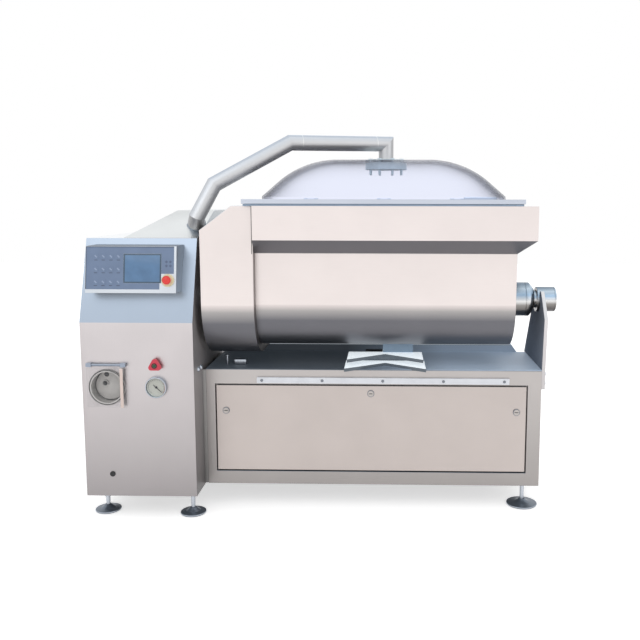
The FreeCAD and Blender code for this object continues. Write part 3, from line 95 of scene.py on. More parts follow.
def linear(code: str, shade: float = 1.0) -> tuple[float, float, float, float]:
    """Turn an sRGB hex value into linear colour.

    Args:
        code: Six hex digits.
        shade: Factor on the linear colour, below one where it is to be darker.

    Returns:
        Linear red, green and blue, and an alpha of one.
    """
    parts = [int(code[i:i + 2], 16) / 255 for i in (0, 2, 4)]
    red, green, blue = (c / 12.92 if c <= 0.04045 else ((c + 0.055) / 1.055) ** 2.4 for c in parts)
    return red * shade, green * shade, blue * shade, 1.0


def add_node(tree: bpy.types.NodeTree, kind: str, settings: dict | None = None,
             links: dict | None = None) -> bpy.types.Node:
    """Add one node with its settings and links.

    Args:
        tree: Node tree that gets the node.
        kind: Blender's type name of the node.
        settings: Attributes by name, or an input's value by the input's name or index.
        links: Output sockets by the name or index of the input they feed.

    Returns:
        The new node.
    """
    node = tree.nodes.new(kind)
    for key, value in (settings or {}).items():
        if isinstance(key, int) or key in node.inputs:
            node.inputs[key].default_value = value
        else:
            setattr(node, key, value)
    for key, socket in (links or {}).items():
        tree.links.new(socket, node.inputs[key])
    return node


def set_ramp(node: bpy.types.Node, stops: Sequence[tuple[float, tuple]]) -> bpy.types.Node:
    """Give a colour ramp its stops.

    Args:
        node: The colour ramp.
        stops: Positions with their linear colours.

    Returns:
        The same node.
    """
    elements = node.color_ramp.elements
    while len(elements) > 1:
        elements.remove(elements[-1])
    elements[0].position, elements[0].color = stops[0]
    for place, colour in stops[1:]:
        elements.new(place).color = colour
    return node


@dataclass(frozen=True)
class Finish:
    """Base of every finish: a named procedural material."""

    name: str

    def shade(self, tree: bpy.types.NodeTree, shader: bpy.types.Node) -> None:
        """Dress the shader; each finish does this in its own way.

        Args:
            tree: Node tree of the material.
            shader: Its Principled shader.
        """
        raise NotImplementedError

    def material(self) -> bpy.types.Material:
        """Make the material once.

        Returns:
            The material, taken from Blender's list when it is there already.
        """
        known = bpy.data.materials.get(self.name)
        if known:
            return known
        made = bpy.data.materials.new(self.name)
        made.use_nodes = True
        self.shade(made.node_tree, made.node_tree.nodes["Principled BSDF"])
        return made


@dataclass(frozen=True)
class Stainless(Finish):
    """Worked stainless steel: fine lines of its last tool, with painted reflection and shade set by how a face
    leans.
    """

    # tones: painted reflection and shade, by how far a face looks down or up
    tones: Tones = ()
    grain: Grain = Grain.ALONG_X
    line_mm: float = 1.6
    line_depth_mm: float = 0.2
    relief: float = 0.06
    streak: float = 0.03
    rough: float = 0.38
    rough_span: tuple[float, float] = (-0.05, 0.07)
    cloud: float = 0.05
    clouds_per_m: float = 5.0
    # side: painted shade on faces that look sideways
    side: float = 0.6
    side_span: tuple[float, float] = (0.3, 0.95)
    metal: float = 1.0
    side_metal: float = 1.0
    # fade: painted shade along one direction
    fade: tuple[float, float, float] = (0.0, 1.0, 1.0)
    fade_along: str = "Z"
    # glow: painted light, the steel's own colour given off as light
    glow: float = 0.0
    folded: bool = False

    def shade(self, tree: bpy.types.NodeTree, shader: bpy.types.Node) -> None:
        """Blend the painted reflection and shade by the way a face leans, with brushed lines and faint clouds.

        Args:
            tree: Node tree of the material.
            shader: Its Principled shader.
        """
        place = add_node(tree, "ShaderNodeTexCoord").outputs["Object"]
        normal = add_node(tree, "ShaderNodeNewGeometry").outputs["True Normal" if self.folded else "Normal"]
        facing = add_node(tree, "ShaderNodeSeparateXYZ", links={0: normal})
        lean = add_node(tree, "ShaderNodeMapRange", {"From Min": -1.0, "From Max": 1.0},
                        {"Value": facing.outputs["Z"]})
        # Painted reflection and shade, picked by how the face leans
        tint = set_ramp(add_node(tree, "ShaderNodeValToRGB", links={0: lean.outputs[0]}),
                        [((tilt + 1.0) / 2.0, linear(code)) for tilt, code in self.tones])
        stretch = add_node(tree, "ShaderNodeMapping", {"Scale": self.grain.value}, {"Vector": place})
        lines = add_node(tree, "ShaderNodeTexNoise", {"Scale": 1.0 / (self.line_mm * MM), "Detail": 3.0},
                         {"Vector": stretch.outputs[0]}).outputs[0]
        clouds = add_node(tree, "ShaderNodeTexNoise", {"Scale": self.clouds_per_m, "Detail": 3.0},
                          {"Vector": place}).outputs[0]
        spans = ((clouds, 1.0 - self.cloud, 1.0 + self.cloud), (lines, 1.0 - self.streak, 1.0 + self.streak),
                 (lines, *(self.rough + change for change in self.rough_span)))
        uneven, streaks, rough = (
            add_node(tree, "ShaderNodeMapRange", {"To Min": low, "To Max": high},
                     {"Value": noise}).outputs[0] for noise, low, high in spans)
        whole = uneven
        # Painted shade on side faces and along one direction, on top of the clouds and streaks
        for factor in (streaks, self._sides(tree, facing.outputs["X"], 1.0, self.side),
                       self._fade(tree, place)):
            whole = add_node(tree, "ShaderNodeMath", {"operation": "MULTIPLY"},
                             {0: whole, 1: factor}).outputs[0]
        colour = add_node(tree, "ShaderNodeVectorMath", {"operation": "SCALE"},
                          {0: tint.outputs[0], "Scale": whole})
        tree.links.new(colour.outputs[0], shader.inputs["Base Color"])
        # Painted light: the steel gives off its own colour
        if self.glow:
            tree.links.new(colour.outputs[0], shader.inputs["Emission Color"])
            shader.inputs["Emission Strength"].default_value = self.glow
        if self.side_metal == 1.0:
            shader.inputs["Metallic"].default_value = self.metal
        else:
            metal = self._sides(tree, facing.outputs["X"], self.metal, self.side_metal)
            tree.links.new(metal, shader.inputs["Metallic"])
        tree.links.new(rough, shader.inputs["Roughness"])
        bump = add_node(tree, "ShaderNodeBump", {"Strength": self.relief, "Distance": self.line_depth_mm * MM},
                        {"Height": lines})
        tree.links.new(bump.outputs[0], shader.inputs["Normal"])

    def _sides(self, tree: bpy.types.NodeTree, across: bpy.types.NodeSocket, ahead: float,
               aside: float) -> bpy.types.NodeSocket:
        """Blend between two factors by how far a face looks sideways, for the painted shade on side faces and
        for their metalness.

        Args:
            tree: Node tree of the material.
            across: The normal's part along the machine.
            ahead: Factor on faces that look ahead or up.
            aside: Factor on faces that look sideways.

        Returns:
            Socket with the factor.
        """
        size = add_node(tree, "ShaderNodeMath", {"operation": "ABSOLUTE"}, {0: across})
        start, end = self.side_span
        return add_node(tree, "ShaderNodeMapRange",
                        {"From Min": start, "From Max": end, "To Min": ahead, "To Max": aside},
                        {"Value": size.outputs[0]}).outputs[0]

    def _fade(self, tree: bpy.types.NodeTree, place: bpy.types.NodeSocket) -> bpy.types.NodeSocket:
        """Paint shade along one direction of the machine, such as towards its foot.

        Args:
            tree: Node tree of the material.
            place: Object coordinates.

        Returns:
            Socket with the factor, which is one where the sheet isn't darkened.
        """
        parts = add_node(tree, "ShaderNodeSeparateXYZ", links={0: place})
        low, high, factor = self.fade
        return add_node(tree, "ShaderNodeMapRange",
                        {"From Min": low, "From Max": high, "To Min": factor, "To Max": 1.0},
                        {"Value": parts.outputs[self.fade_along]}).outputs[0]


@dataclass(frozen=True)
class Moulded(Finish):
    """Moulded, milled or printed plastic and rubber with a fine grain."""

    colour: str = "FFFFFF"
    rough: float = 0.45
    grit_mm: float = 0.8
    grit_depth_mm: float = 0.4
    patches_per_m: float = 18.0
    relief: float = 0.05
    glow: float = 0.0
    spread: float = 0.04
    gloss: float = 0.5
    rough_swing: float = 0.06

    def shade(self, tree: bpy.types.NodeTree, shader: bpy.types.Node) -> None:
        """Give a slightly uneven colour and a fine bump.

        Args:
            tree: Node tree of the material.
            shader: Its Principled shader.
        """
        place = add_node(tree, "ShaderNodeTexCoord").outputs["Object"]
        grit = add_node(tree, "ShaderNodeTexNoise", {"Scale": 1.0 / (self.grit_mm * MM), "Detail": 2.0},
                        {"Vector": place}).outputs[0]
        patch = add_node(tree, "ShaderNodeTexNoise", {"Scale": self.patches_per_m, "Detail": 2.0},
                         {"Vector": place})
        tint = set_ramp(add_node(tree, "ShaderNodeValToRGB", links={0: patch.outputs[0]}),
                        [(0.3, linear(self.colour, 1.0 - self.spread * 2)), (0.7, linear(self.colour))])
        tree.links.new(tint.outputs[0], shader.inputs["Base Color"])
        rough = add_node(tree, "ShaderNodeMapRange",
                         {"To Min": self.rough - self.rough_swing,
                          "To Max": self.rough + self.rough_swing}, {"Value": grit})
        tree.links.new(rough.outputs[0], shader.inputs["Roughness"])
        bump = add_node(tree, "ShaderNodeBump", {"Strength": self.relief, "Distance": self.grit_depth_mm * MM},
                        {"Height": grit})
        tree.links.new(bump.outputs[0], shader.inputs["Normal"])
        shader.inputs["Specular IOR Level"].default_value = self.gloss
        if self.glow:
            tree.links.new(tint.outputs[0], shader.inputs["Emission Color"])
            shader.inputs["Emission Strength"].default_value = self.glow


@dataclass(frozen=True)
class ClearSheet(Finish):
    """Clear plastic or glass: thin walls that stay see-through, smoky where seen edge-on."""

    tint: str = "F8FAFE"
    edge: str = "6B707C"
    film: float = 0.015
    rim: float = 0.8
    power: float = 4.0
    rough: float = 0.25
    gloss: float = 0.2
    haze_per_m: float = 7.0
    haze: float = 0.15

    def shade(self, tree: bpy.types.NodeTree, shader: bpy.types.Node) -> None:
        """Mix a clear shader with a smoky gloss that grows towards the rim.

        Args:
            tree: Node tree of the material.
            shader: Its Principled shader.
        """
        output = next(n for n in tree.nodes if n.type == "OUTPUT_MATERIAL")
        place = add_node(tree, "ShaderNodeTexCoord")
        haze = add_node(tree, "ShaderNodeTexNoise", {"Scale": self.haze_per_m, "Detail": 3.0},
                        {"Vector": place.outputs["Object"]})
        for socket, value in (("Base Color", linear(self.edge)), ("Roughness", self.rough),
                              ("Specular IOR Level", self.gloss)):
            shader.inputs[socket].default_value = value
        edge_on = add_node(tree, "ShaderNodeLayerWeight", {"Blend": 0.5})
        steep = add_node(tree, "ShaderNodeMath", {"operation": "POWER", 1: self.power},
                         {0: edge_on.outputs["Facing"]})
        cover = add_node(tree, "ShaderNodeMapRange", {"To Min": self.film, "To Max": self.rim},
                         {"Value": steep.outputs[0]})
        uneven = add_node(tree, "ShaderNodeMapRange", {"To Min": 1.0 - self.haze, "To Max": 1.0 + self.haze},
                          {"Value": haze.outputs[0]})
        amount = add_node(tree, "ShaderNodeMath", {"operation": "MULTIPLY", "use_clamp": True},
                          {0: cover.outputs[0], 1: uneven.outputs[0]})
        clear = add_node(tree, "ShaderNodeBsdfTransparent", {"Color": linear(self.tint)})
        mix = add_node(tree, "ShaderNodeMixShader",
                       links={0: amount.outputs[0], 1: clear.outputs[0], 2: shader.outputs[0]})
        tree.links.new(mix.outputs[0], output.inputs[0])


@dataclass(frozen=True)
class Enamelled(Finish):
    """Sprayed enamel on a cast housing, with its orange-peel surface."""

    colour: str = "2F4A6B"
    rough: float = 0.35
    coat: float = 0.3
    worn: float = 0.8
    relief: float = 0.15
    peel_depth_mm: float = 0.4
    peel_per_m: float = 220.0
    wear_per_m: float = 12.0

    def shade(self, tree: bpy.types.NodeTree, shader: bpy.types.Node) -> None:
        """Give a coated colour over a soft ripple.

        Args:
            tree: Node tree of the material.
            shader: Its Principled shader.
        """
        place = add_node(tree, "ShaderNodeTexCoord").outputs["Object"]
        peel = add_node(tree, "ShaderNodeTexNoise", {"Scale": self.peel_per_m, "Detail": 2.0},
                        {"Vector": place})
        wear = add_node(tree, "ShaderNodeTexNoise", {"Scale": self.wear_per_m, "Detail": 5.0},
                        {"Vector": place})
        tint = set_ramp(add_node(tree, "ShaderNodeValToRGB", links={0: wear.outputs[0]}),
                        [(0.35, linear(self.colour, self.worn)), (0.6, linear(self.colour))])
        tree.links.new(tint.outputs[0], shader.inputs["Base Color"])
        shader.inputs["Roughness"].default_value = self.rough
        shader.inputs["Coat Weight"].default_value = self.coat
        bump = add_node(tree, "ShaderNodeBump", {"Strength": self.relief, "Distance": self.peel_depth_mm * MM},
                        {"Height": peel.outputs[0]})
        tree.links.new(bump.outputs[0], shader.inputs["Normal"])


# Finishes. A metal's tones are painted reflection and shade, from faces that look down (-1) to faces that look
# up (1). The real brushing is 0.05 to 0.1 mm wide and the grit of plastics 0.1 mm; neither would show from
# here, so the lines are drawn 1.2 to 3 mm wide and the grit 0.6 to 1.5 mm. The bare studio has no room to
# reflect, so some steels carry that reflection painted in: less metallic than steel is, with painted shade
# along one direction, or with a little painted light of their own.

# Rolled sheet, satin brushed along the trough: painted reflection pale ahead with a long soft band, painted
# shade grey under the belly.
DRUM_SHEET = Stainless("satin_304_drum_sheet", (
    (-1.0, "808084"), (-0.65, "707075"), (-0.35, "6C6C71"), (-0.14, "A19E9D"), (-0.03, "D4CBC9"),
    (0.02, "EEE5E2"), (0.3, "D0D6DC"), (1.0, "E6EAEE")), side=0.36)
# The same sheet, folded to a flat band: one even pale painted reflection ahead, painted shade on faces that
# look down.
BAND_SHEET = Stainless("satin_304_rim_band", (
    (-1.0, "727276"), (-0.5, "727277"), (-0.05, "E6DDDA"), (0.05, "E8DFDD"), (1.0, "E6EAEE")), side=0.7)
# Sheet brushed upright and folded, with painted reflection: warm on upright faces, blue on the leaning
# console; painted shade makes it duller to the foot.
CABINET_SHEET = Stainless("satin_304_cabinet_sheet", (
    (-1.0, "4A4A4D"), (-0.1, "D2CCCD"), (0.06, "D2CCCD"), (0.12, "AEBBCB"), (0.75, "AEBBCB"),
    (0.9, "F4F6F8"), (1.0, "F4F6F8")), grain=Grain.ALONG_Z, rough=0.36, side=0.62, side_metal=0.25,
    fade=(0.11, 0.95, 0.5), folded=True)
# Brushed roof sheet seen at a low angle: its painted reflection almost white, painted shade underneath.
HOOD_SHEET = Stainless("satin_304_hood_sheet", (
    (-1.0, "8A8A8D"), (0.0, "D4D7D9"), (0.4, "DEE1E1"), (1.0, "E6E9EA")), side=1.0)
# Brushed frame sheet with painted reflection: warm grey ahead, cooler on top; painted shade darker to the
# floor.
BASE_SHEET = Stainless("satin_304_base_sheet", (
    (-1.0, "3C3C40"), (-0.1, "B5B0AE"), (0.1, "B5B0AE"), (0.6, "8B99A8"), (1.0, "7A8896")),
    side=0.7, side_metal=0.4, fade=(0.12, 0.62, 0.72))
# Wide sloped sheet with a painted blue reflection of the room, a little painted light of its own, and the
# trough's shade painted at its left.
DECK_SHEET = Stainless("satin_304_deck", (
    (-1.0, "3C3C40"), (0.0, "A6B6C8"), (0.5, "B4C6DA"), (1.0, "B4C6DA")), rough=0.5, metal=0.0, side=0.7,
    fade=(0.08, 0.6, 0.18), fade_along="X", glow=0.2)
# Loose panel brushed along its length: slightly cloudy from handling.
PANEL_SHEET = Stainless("satin_304_access_panel", (
    (-1.0, "6A6866"), (0.0, "BBB2AE"), (1.0, "A0A4A8")), cloud=0.06)
# Ground plate: its top painted white with painted light of its own, its edge painted dark.
LEDGE_SHEET = Stainless("bright_304_ledge", (
    (-1.0, "4A525A"), (-0.2, "50585F"), (0.2, "555D66"), (0.8, "F2FAFF"), (1.0, "F2FAFF")),
    metal=0.0, rough=0.35, glow=0.62)
# Narrow folded strip: a plain grey line, with painted shade duller to the foot.
STRIP_SHEET = Stainless("satin_304_joining_strip", (
    (-1.0, "5C5C60"), (0.0, "B8B6B4"), (1.0, "9A9CA0")), metal=0.3, fade=(0.12, 0.7, 0.6))
# Drawn and polished rod, with the blue of the room painted in as reflection.
HINGE_STEEL = Stainless("drawn_304_hinge_rod", (
    (-1.0, "5A6A80"), (0.0, "9CA6B6"), (1.0, "B4BECC")), grain=Grain.ALL_WAYS, rough=0.3, metal=0.5)
# Bright rolled sheet of the lid: a thin cool painted reflection along its edge.
LID_SHEET = Stainless("bright_304_lid_sheet", (
    (-1.0, "8A929C"), (-0.1, "C8CEDA"), (0.1, "C8CEDA"), (1.0, "DFE5EE")), rough=0.3, side=0.8)
# Polished tube: painted reflection in soft bands along its length, darker along its top.
PIPE_STEEL = Stainless("polished_316_tube", (
    (-1.0, "B4B4B6"), (-0.7, "B8B8B9"), (-0.3, "C2C1C2"), (0.1, "D4D5D7"), (0.6, "D8DEE6"),
    (1.0, "A9B6C6")), grain=Grain.ALL_WAYS, line_mm=3.0, rough=0.42, side=0.75, metal=0.75)
# Bar turned on a lathe: painted reflection and shade in sharp dark and light bands round it.
TURNED_STEEL = Stainless("turned_304_bar", (
    (-1.0, "3A3A3E"), (-0.6, "605D5C"), (-0.25, "8A8784"), (0.0, "DADADA"), (0.35, "93ACC4"),
    (0.7, "C3D4E2"), (1.0, "5D7184")), grain=Grain.ALL_WAYS, line_mm=1.2, rough=0.25, side=0.9)
# Cold drawn bar of small parts: clean and bright, with a slightly cool painted reflection and painted shade
# below.
SMALL_STEEL = Stainless("drawn_304_bar", (
    (-1.0, "6A6C72"), (0.0, "B9BEC6"), (1.0, "C9D6E2")), grain=Grain.ALL_WAYS, line_mm=1.2, rough=0.28,
    side=0.8)
# Milled rings behind the clear dome: pale and matt, with a little painted light of their own.
CLAMP_STEEL = Stainless("machined_304_clamp", (
    (-1.0, "9AA6AE"), (0.0, "BCCAD3"), (1.0, "D5E0E8")), grain=Grain.ALL_WAYS, line_mm=1.2, rough=0.4,
    metal=0.2, side=0.95, glow=0.25)
# Forged and tumbled foot discs: painted shade under, with a painted pale highlight ring where they turn up.
FOOT_STEEL = Stainless("forged_304_foot", (
    (-1.0, "3A3C40"), (-0.1, "9AA1AA"), (0.15, "D2DAE4"), (0.6, "7D8795"), (1.0, "77818E")),
    grain=Grain.ALL_WAYS, rough=0.3, metal=0.5, side=1.0)
# Thick brushed plate: pale edge, with painted shade duller below.
PLATE_STEEL = Stainless("satin_304_end_plate", (
    (-1.0, "4A4A4E"), (0.0, "DCD8D9"), (1.0, "E8ECF0")), rough=0.34, side=0.6, fade=(0.6, 1.05, 0.7))
# Folded box sheet: pale ahead, its top edge in shade.
BOX_STEEL = Stainless("satin_304_operator_box", (
    (-1.0, "7A746E"), (-0.1, "C9CDD2"), (0.2, "D2D8DF"), (1.0, "69717B")), side=0.75)
# Bead-blasted bowl: even, warm and without lines; painted shade darkens faces that look up.
BOWL_STEEL = Stainless("bead_blasted_316_bowl", (
    (-1.0, "E2DFDC"), (0.0, "DAD7D4"), (1.0, "BAB8B6")), grain=Grain.ALL_WAYS, rough=0.6, metal=0.05,
    side=0.62)
# Die-cast zinc heads: warm grey with a dull shine.
LOCK_STEEL = Stainless("die_cast_lock_zinc", (
    (-1.0, "5C5C5C"), (0.0, "BDB7B3"), (1.0, "9A9896")), grain=Grain.ALL_WAYS, rough=0.4, metal=0.6)
# Cold-headed screws: darker than the sheet, with a tight highlight.
SCREW_STEEL = Stainless("a2_screw_steel", (
    (-1.0, "4C4E52"), (0.0, "82868E"), (1.0, "8A8E96")), grain=Grain.ALL_WAYS, rough=0.35)
# Weld ground flush by hand: pale and without direction.
WELD_STEEL = Stainless("ground_weld_bead", (
    (-1.0, "5C5C60"), (0.0, "D0C9C6"), (1.0, "C4CBD1")), rough=0.45, grain=Grain.ALL_WAYS, line_mm=2.0,
    side=0.9)
# Tube weld brushed round: a paler ring on the tube.
RING_STEEL = Stainless("brushed_tube_weld", (
    (-1.0, "8A8A8C"), (0.0, "F0F0EE"), (1.0, "E0E8EE")), rough=0.45, grain=Grain.ALL_WAYS, line_mm=2.0,
    side=1.0)
# Hobbed gear steel: plain grey with a film of grease.
GEAR_STEEL = Stainless("hobbed_gear_steel", (
    (-1.0, "4A4A4C"), (0.0, "8E8E90"), (1.0, "9A9DA2")), grain=Grain.ALL_WAYS, rough=0.42)
# Polished paddles: brighter than the trough round them.
PADDLE_STEEL = Stainless("polished_304_paddles", (
    (-1.0, "5A5C60"), (0.0, "C2C4C8"), (1.0, "D0D4DA")), rough=0.25)
# Blown polycarbonate: clear across, smoky where the wall is seen edge-on.
CLEAR_DOME = ClearSheet("formed_polycarbonate_dome", tint="FAFBFF", edge="4C4F59", film=0.004, rim=0.98,
                        power=5.8)
# Cast acrylic sheet with flamed edges: clear, pale grey at its edge.
CLEAR_COVER = ClearSheet("clear_acrylic_cover", tint="FDFDFD", edge="C9CED4", film=0.03, rim=0.35)
# Flat mineral glass: only its rim shows.
CLEAR_LENS = ClearSheet("mineral_glass_lens", tint="FFFFFF", edge="B0B8C0", film=0.02, rim=0.4)
# Milled polyethylene: waxy white with faint cutter marks.
WHITE_PE = Moulded("milled_white_polyethylene", colour="F4F7FE", rough=0.5, grit_mm=1.5)
# The same white plastic, with the trough's shade painted in as blue grey.
CRADLE_PE = Moulded("milled_blue_polyethylene", colour="8FA5BA", rough=0.5, grit_mm=1.5)
# Moulded nitrile: dull dark grey for the trap's seal; the same grey is painted shade in the trap's ports and
# the lock slots.
NITRILE_AND_HOLE_SHADE = Moulded("moulded_grey_nitrile", colour="4A4A4C", rough=0.6)
# Moulded silicone gasket: pale and matt.
PORT_SEAL = Moulded("moulded_pale_silicone", colour="9FAAB6", rough=0.6)
# Sawn acrylic grip strip of the cover: its pale warm colour is a painted highlight of the cover's edge.
STRIP_ACRYLIC = Moulded("film_backed_acrylic_grip", colour="F1DED6", rough=0.35)
# Sintered bronze: brown gold with fine pores.
BRONZE = Moulded("sintered_bronze_bush", colour="A9834F", rough=0.4)
# Extruded silicone seal: blue white and matt.
SEAL = Moulded("extruded_silicone_seal", colour="A9BDD3", rough=0.6)
# Vulcanised nitrile: black, matt, with a coarse skin.
BLACK_RUBBER = Moulded("black_nitrile_rubber", colour="26272A", rough=0.7, grit_mm=1.2, relief=0.2)
# Screen-printed polyester film: even blue grey with a soft shine.
FILM = Moulded("printed_polyester_film", colour="7A8DAC", rough=0.42, grit_mm=0.6, relief=0.03)
# Darker ink printed round the film and under its keys.
FILM_DARK = Moulded("dark_ink_on_film", colour="4C5565", rough=0.4)
# Thin ink of the arrow keys: hardly darker than the film.
ARROW_INK = Moulded("thin_ink_on_film", colour="60708C", rough=0.4)
# Pale ink of the key marks.
KEY_INK = Moulded("pale_ink_on_film", colour="9DAECB", rough=0.4)
# Mask printed behind the screen's glass: dark and smooth.
SCREEN_FRAME = Moulded("back_printed_glass_mask", colour="4E6478", rough=0.25, relief=0.01)
# Liquid-crystal screen behind glass: lit from behind, smooth, slightly uneven.
SCREEN = Moulded("backlit_screen_glass", colour="5F82A8", rough=0.15, relief=0.0, glow=0.15, spread=0.09)
# Moulded nylon: saturated red with a soft shine.
RED = Moulded("moulded_red_nylon", colour="FA4440", rough=0.28, relief=0.02)
# Pressed phenolic resin: darker red, almost glossy.
KNOB_RED = Moulded("moulded_dark_red_phenolic", colour="DC4256", rough=0.3, relief=0.03)
# Moulded ABS ring: pale yellow, satin.
YELLOW = Moulded("moulded_pale_yellow_abs", colour="F3EDC4", rough=0.35)
# Moulded insert of the knob: dark green, satin.
GREEN = Moulded("moulded_green_nylon", colour="1E5A3C", rough=0.4)
# Printed tin dial: flat warm white.
DIAL = Moulded("printed_white_dial", colour="DADBD2", rough=0.5)
# Black and red inks of the dial: flat, without shine.
DIAL_INK = Moulded("printed_black_dial_ink", colour="2C2C30", rough=0.5)
DIAL_RED = Moulded("printed_red_dial_ink", colour="B03028", rough=0.5)
# Not a part of the machine: stands for the dark reflection in the plate's inner face, fully matt.
PLATE_PAINTED_REFLECTION = Moulded("matt_grey_reflection_sheet", colour="858D9A", rough=0.95, relief=0.02, gloss=0.02)
# Moulded nylon: black, satin.
BLACK = Moulded("moulded_black_nylon", colour="1E1E21", rough=0.45)
# Enamel sprayed over cast iron: coated, with orange peel and duller patches.
DRIVE_BLUE = Enamelled("sprayed_blue_enamel")
DRIVE_GREY = Enamelled("sprayed_grey_enamel", colour="8A9096")


def show(name: str, data: bpy.types.ID) -> bpy.types.Object:
    """Link a new object with its data to the scene.

    Args:
        name: Name of the object.
        data: Mesh, curve, camera or light that it shows.

    Returns:
        The new object.
    """
    holder = bpy.data.objects.new(name, data)
    bpy.context.scene.collection.objects.link(holder)
    return holder


def to_mesh(name: str, shape: bmesh.types.BMesh) -> bpy.types.Mesh:
    """Turn a bmesh into a mesh and free it.

    Args:
        name: Name of the mesh.
        shape: The bmesh.

    Returns:
        The new mesh.
    """
    mesh = bpy.data.meshes.new(name)
    shape.to_mesh(mesh)
    shape.free()
    return mesh


def evaluated_mesh(holder: bpy.types.Object) -> bpy.types.Mesh:
    """Plain mesh of an object with its modifiers or its bevel."""
    bpy.context.view_layer.update()
    return bpy.data.meshes.new_from_object(holder.evaluated_get(bpy.context.evaluated_depsgraph_get()))


def middle(node: str) -> Vector:
    """Middle of a node's box."""
    low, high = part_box(node)
    return (low + high) / 2


def foot_of(node: str, axis: Axis, start: str | None = None) -> Vector:
    """Point where a node's middle axis meets the low end of a box.

    Args:
        node: Node whose middle the axis runs through.
        axis: Direction of the axis.
        start: Node whose box gives the low end, when it is another one.

    Returns:
        The point, in metres.
    """
    foot = middle(node)
    along = "XYZ".index(axis.name)
    foot[along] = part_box(start or node)[0][along]
    return foot


class Shop:
    """Makes and finishes the meshes that all sub-assemblies share."""

    smooth_deg: float = 35.0
    crease_deg: float = 25.0
    sharp_deg: float = 50.0
    flat_deg: float = 0.6

    def __init__(self, frame: dict) -> None:
        """Keep the loaded frame, and the body and slot of each node."""
        self.nodes = frame["nodes"]
        record = frame["record"]
        self.body_of = {node: body for body, nodes in record["behaviour"]["bodies"].items() for node in nodes}
        self.slot_of = {entry["node"]: entry["material_slot"] for entry in record["subparts"]}

    def place(self, piece: bpy.types.Object, near: str, finish: Finish | None = None,
              stands_for: Iterable[str] = ()) -> bpy.types.Object:
        """Give a piece its finish and body.

        Args:
            piece: The finished mesh object.
            near: Node whose body carries the piece.
            finish: Finish to put on, when the piece has none yet.
            stands_for: Nodes that the piece is shown in place of.

        Returns:
            The same piece.
        """
        if finish:
            piece.data.materials.clear()
            piece.data.materials.append(finish.material())
        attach(piece, self.body_of[near])
        if stands_for:
            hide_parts(*stands_for)
        LOG.info("piece %s on %s", piece.name, self.body_of[near])
        return piece

    def merged(self, node: str) -> bmesh.types.BMesh:
        """Copy a node's loose triangles and merge their doubles.

        Args:
            node: CAD node to copy.

        Returns:
            The copy, which the caller frees.
        """
        shape = bmesh.new()
        shape.from_mesh(self.nodes[node].data)
        bmesh.ops.remove_doubles(shape, verts=shape.verts, dist=SAME_POINT)
        return shape

    def link(self, name: str, shape: bmesh.types.BMesh, smooth_deg: float = smooth_deg) -> bpy.types.Object:
        """Turn a bmesh into a linked object.

        Args:
            name: Name of the piece.
            shape: The bmesh, which is freed.
            smooth_deg: Angle below which neighbouring faces are shaded as one.

        Returns:
            The new piece.
        """
        bmesh.ops.recalc_face_normals(shape, faces=shape.faces)
        mesh = to_mesh(name, shape)
        mesh.shade_smooth()
        mesh.set_sharp_from_angle(angle=math.radians(smooth_deg))
        return show(name, mesh)

    def skin(self, node: str, finish: Finish, edge_mm: float = 1.5, segments: int = 2) -> bpy.types.Object:
        """Show a node as a merged copy with softened edges.

        Args:
            node: CAD node that the copy stands for.
            finish: Finish of the copy.
            edge_mm: Width of the softened edges.
            segments: Steps across a softened edge.

        Returns:
            The new piece.
        """
        shape = self.merged(node)
        bmesh.ops.dissolve_degenerate(shape, edges=shape.edges, dist=SAME_POINT / 2)
        bmesh.ops.dissolve_limit(shape, angle_limit=math.radians(self.flat_deg), verts=shape.verts,
                                 edges=shape.edges)
        mesh = to_mesh(node + "_skin", shape)
        mesh.shade_smooth()
        piece = show(node + "_skin", mesh)
        soften = piece.modifiers.new("soft_edges", "BEVEL")
        soften.width = edge_mm * MM
        soften.segments = segments
        soften.limit_method = "ANGLE"
        soften.angle_limit = math.radians(self.crease_deg)
        self.bake(piece)
        piece.data.set_sharp_from_angle(angle=math.radians(self.sharp_deg))
        piece.modifiers.new("level_faces", "WEIGHTED_NORMAL").keep_sharp = True
        self.bake(piece)
        return self.place(piece, node, finish, [node])

    def skins(self, *rows: tuple) -> None:
        """Skin several nodes; a row holds what skin takes."""
        for row in rows:
            self.skin(*row)

    @staticmethod
    def bake(piece: bpy.types.Object) -> None:
        """Turn a piece with its modifiers into a plain mesh.

        Args:
            piece: The piece, which loses its modifiers.
        """
        mesh, old = evaluated_mesh(piece), piece.data
        piece.modifiers.clear()
        piece.data = mesh
        bpy.data.meshes.remove(old)
        mesh.name = piece.name

    def turned(self, name: str, profile: Profile, centre: Vector, axis: Axis | Vector,
               steps: int = 64) -> bpy.types.Object:
        """Turn a closed outline about an axis.

        Args:
            name: Name of the piece.
            profile: Points of (radius, height) in millimetres, in order round the section.
            centre: Foot of the axis, in metres.
            axis: Direction of the axis.
            steps: Facets round the axis.

        Returns:
            The new piece, smooth and closed.
        """
        direction = axis.value if isinstance(axis, Axis) else axis
        turn = direction.to_track_quat("Z", "Y").to_matrix().to_4x4()
        shape = bmesh.new()
        angles = [2 * math.pi * step / steps for step in range(steps)]
        rings = [[shape.verts.new((0, 0, height * MM))] if radius < 1e-6 else
                 [shape.verts.new((radius * MM * math.cos(a), radius * MM * math.sin(a), height * MM))
                  for a in angles] for radius, height in profile]
        for first, second in zip(rings, rings[1:] + rings[:1]):
            self.bridge(shape, first, second)
        bmesh.ops.transform(shape, matrix=Matrix.Translation(centre) @ turn, verts=shape.verts)
        return self.link(name, shape)

    @staticmethod
    def bridge(shape: bmesh.types.BMesh, first: list, second: list) -> None:
        """Join two rings, either of which may be a single pole.

        Args:
            shape: The bmesh that gets the faces.
            first: Points of one ring.
            second: Points of the other.
        """
        count = max(len(first), len(second))
        for index in range(count if count > 1 else 0):
            after = (index + 1) % count
            corners = [first[index % len(first)], first[after % len(first)], second[after % len(second)],
                       second[index % len(second)]]
            unique = list(dict.fromkeys(corners))
            if len(unique) > 2:
                shape.faces.new(unique)

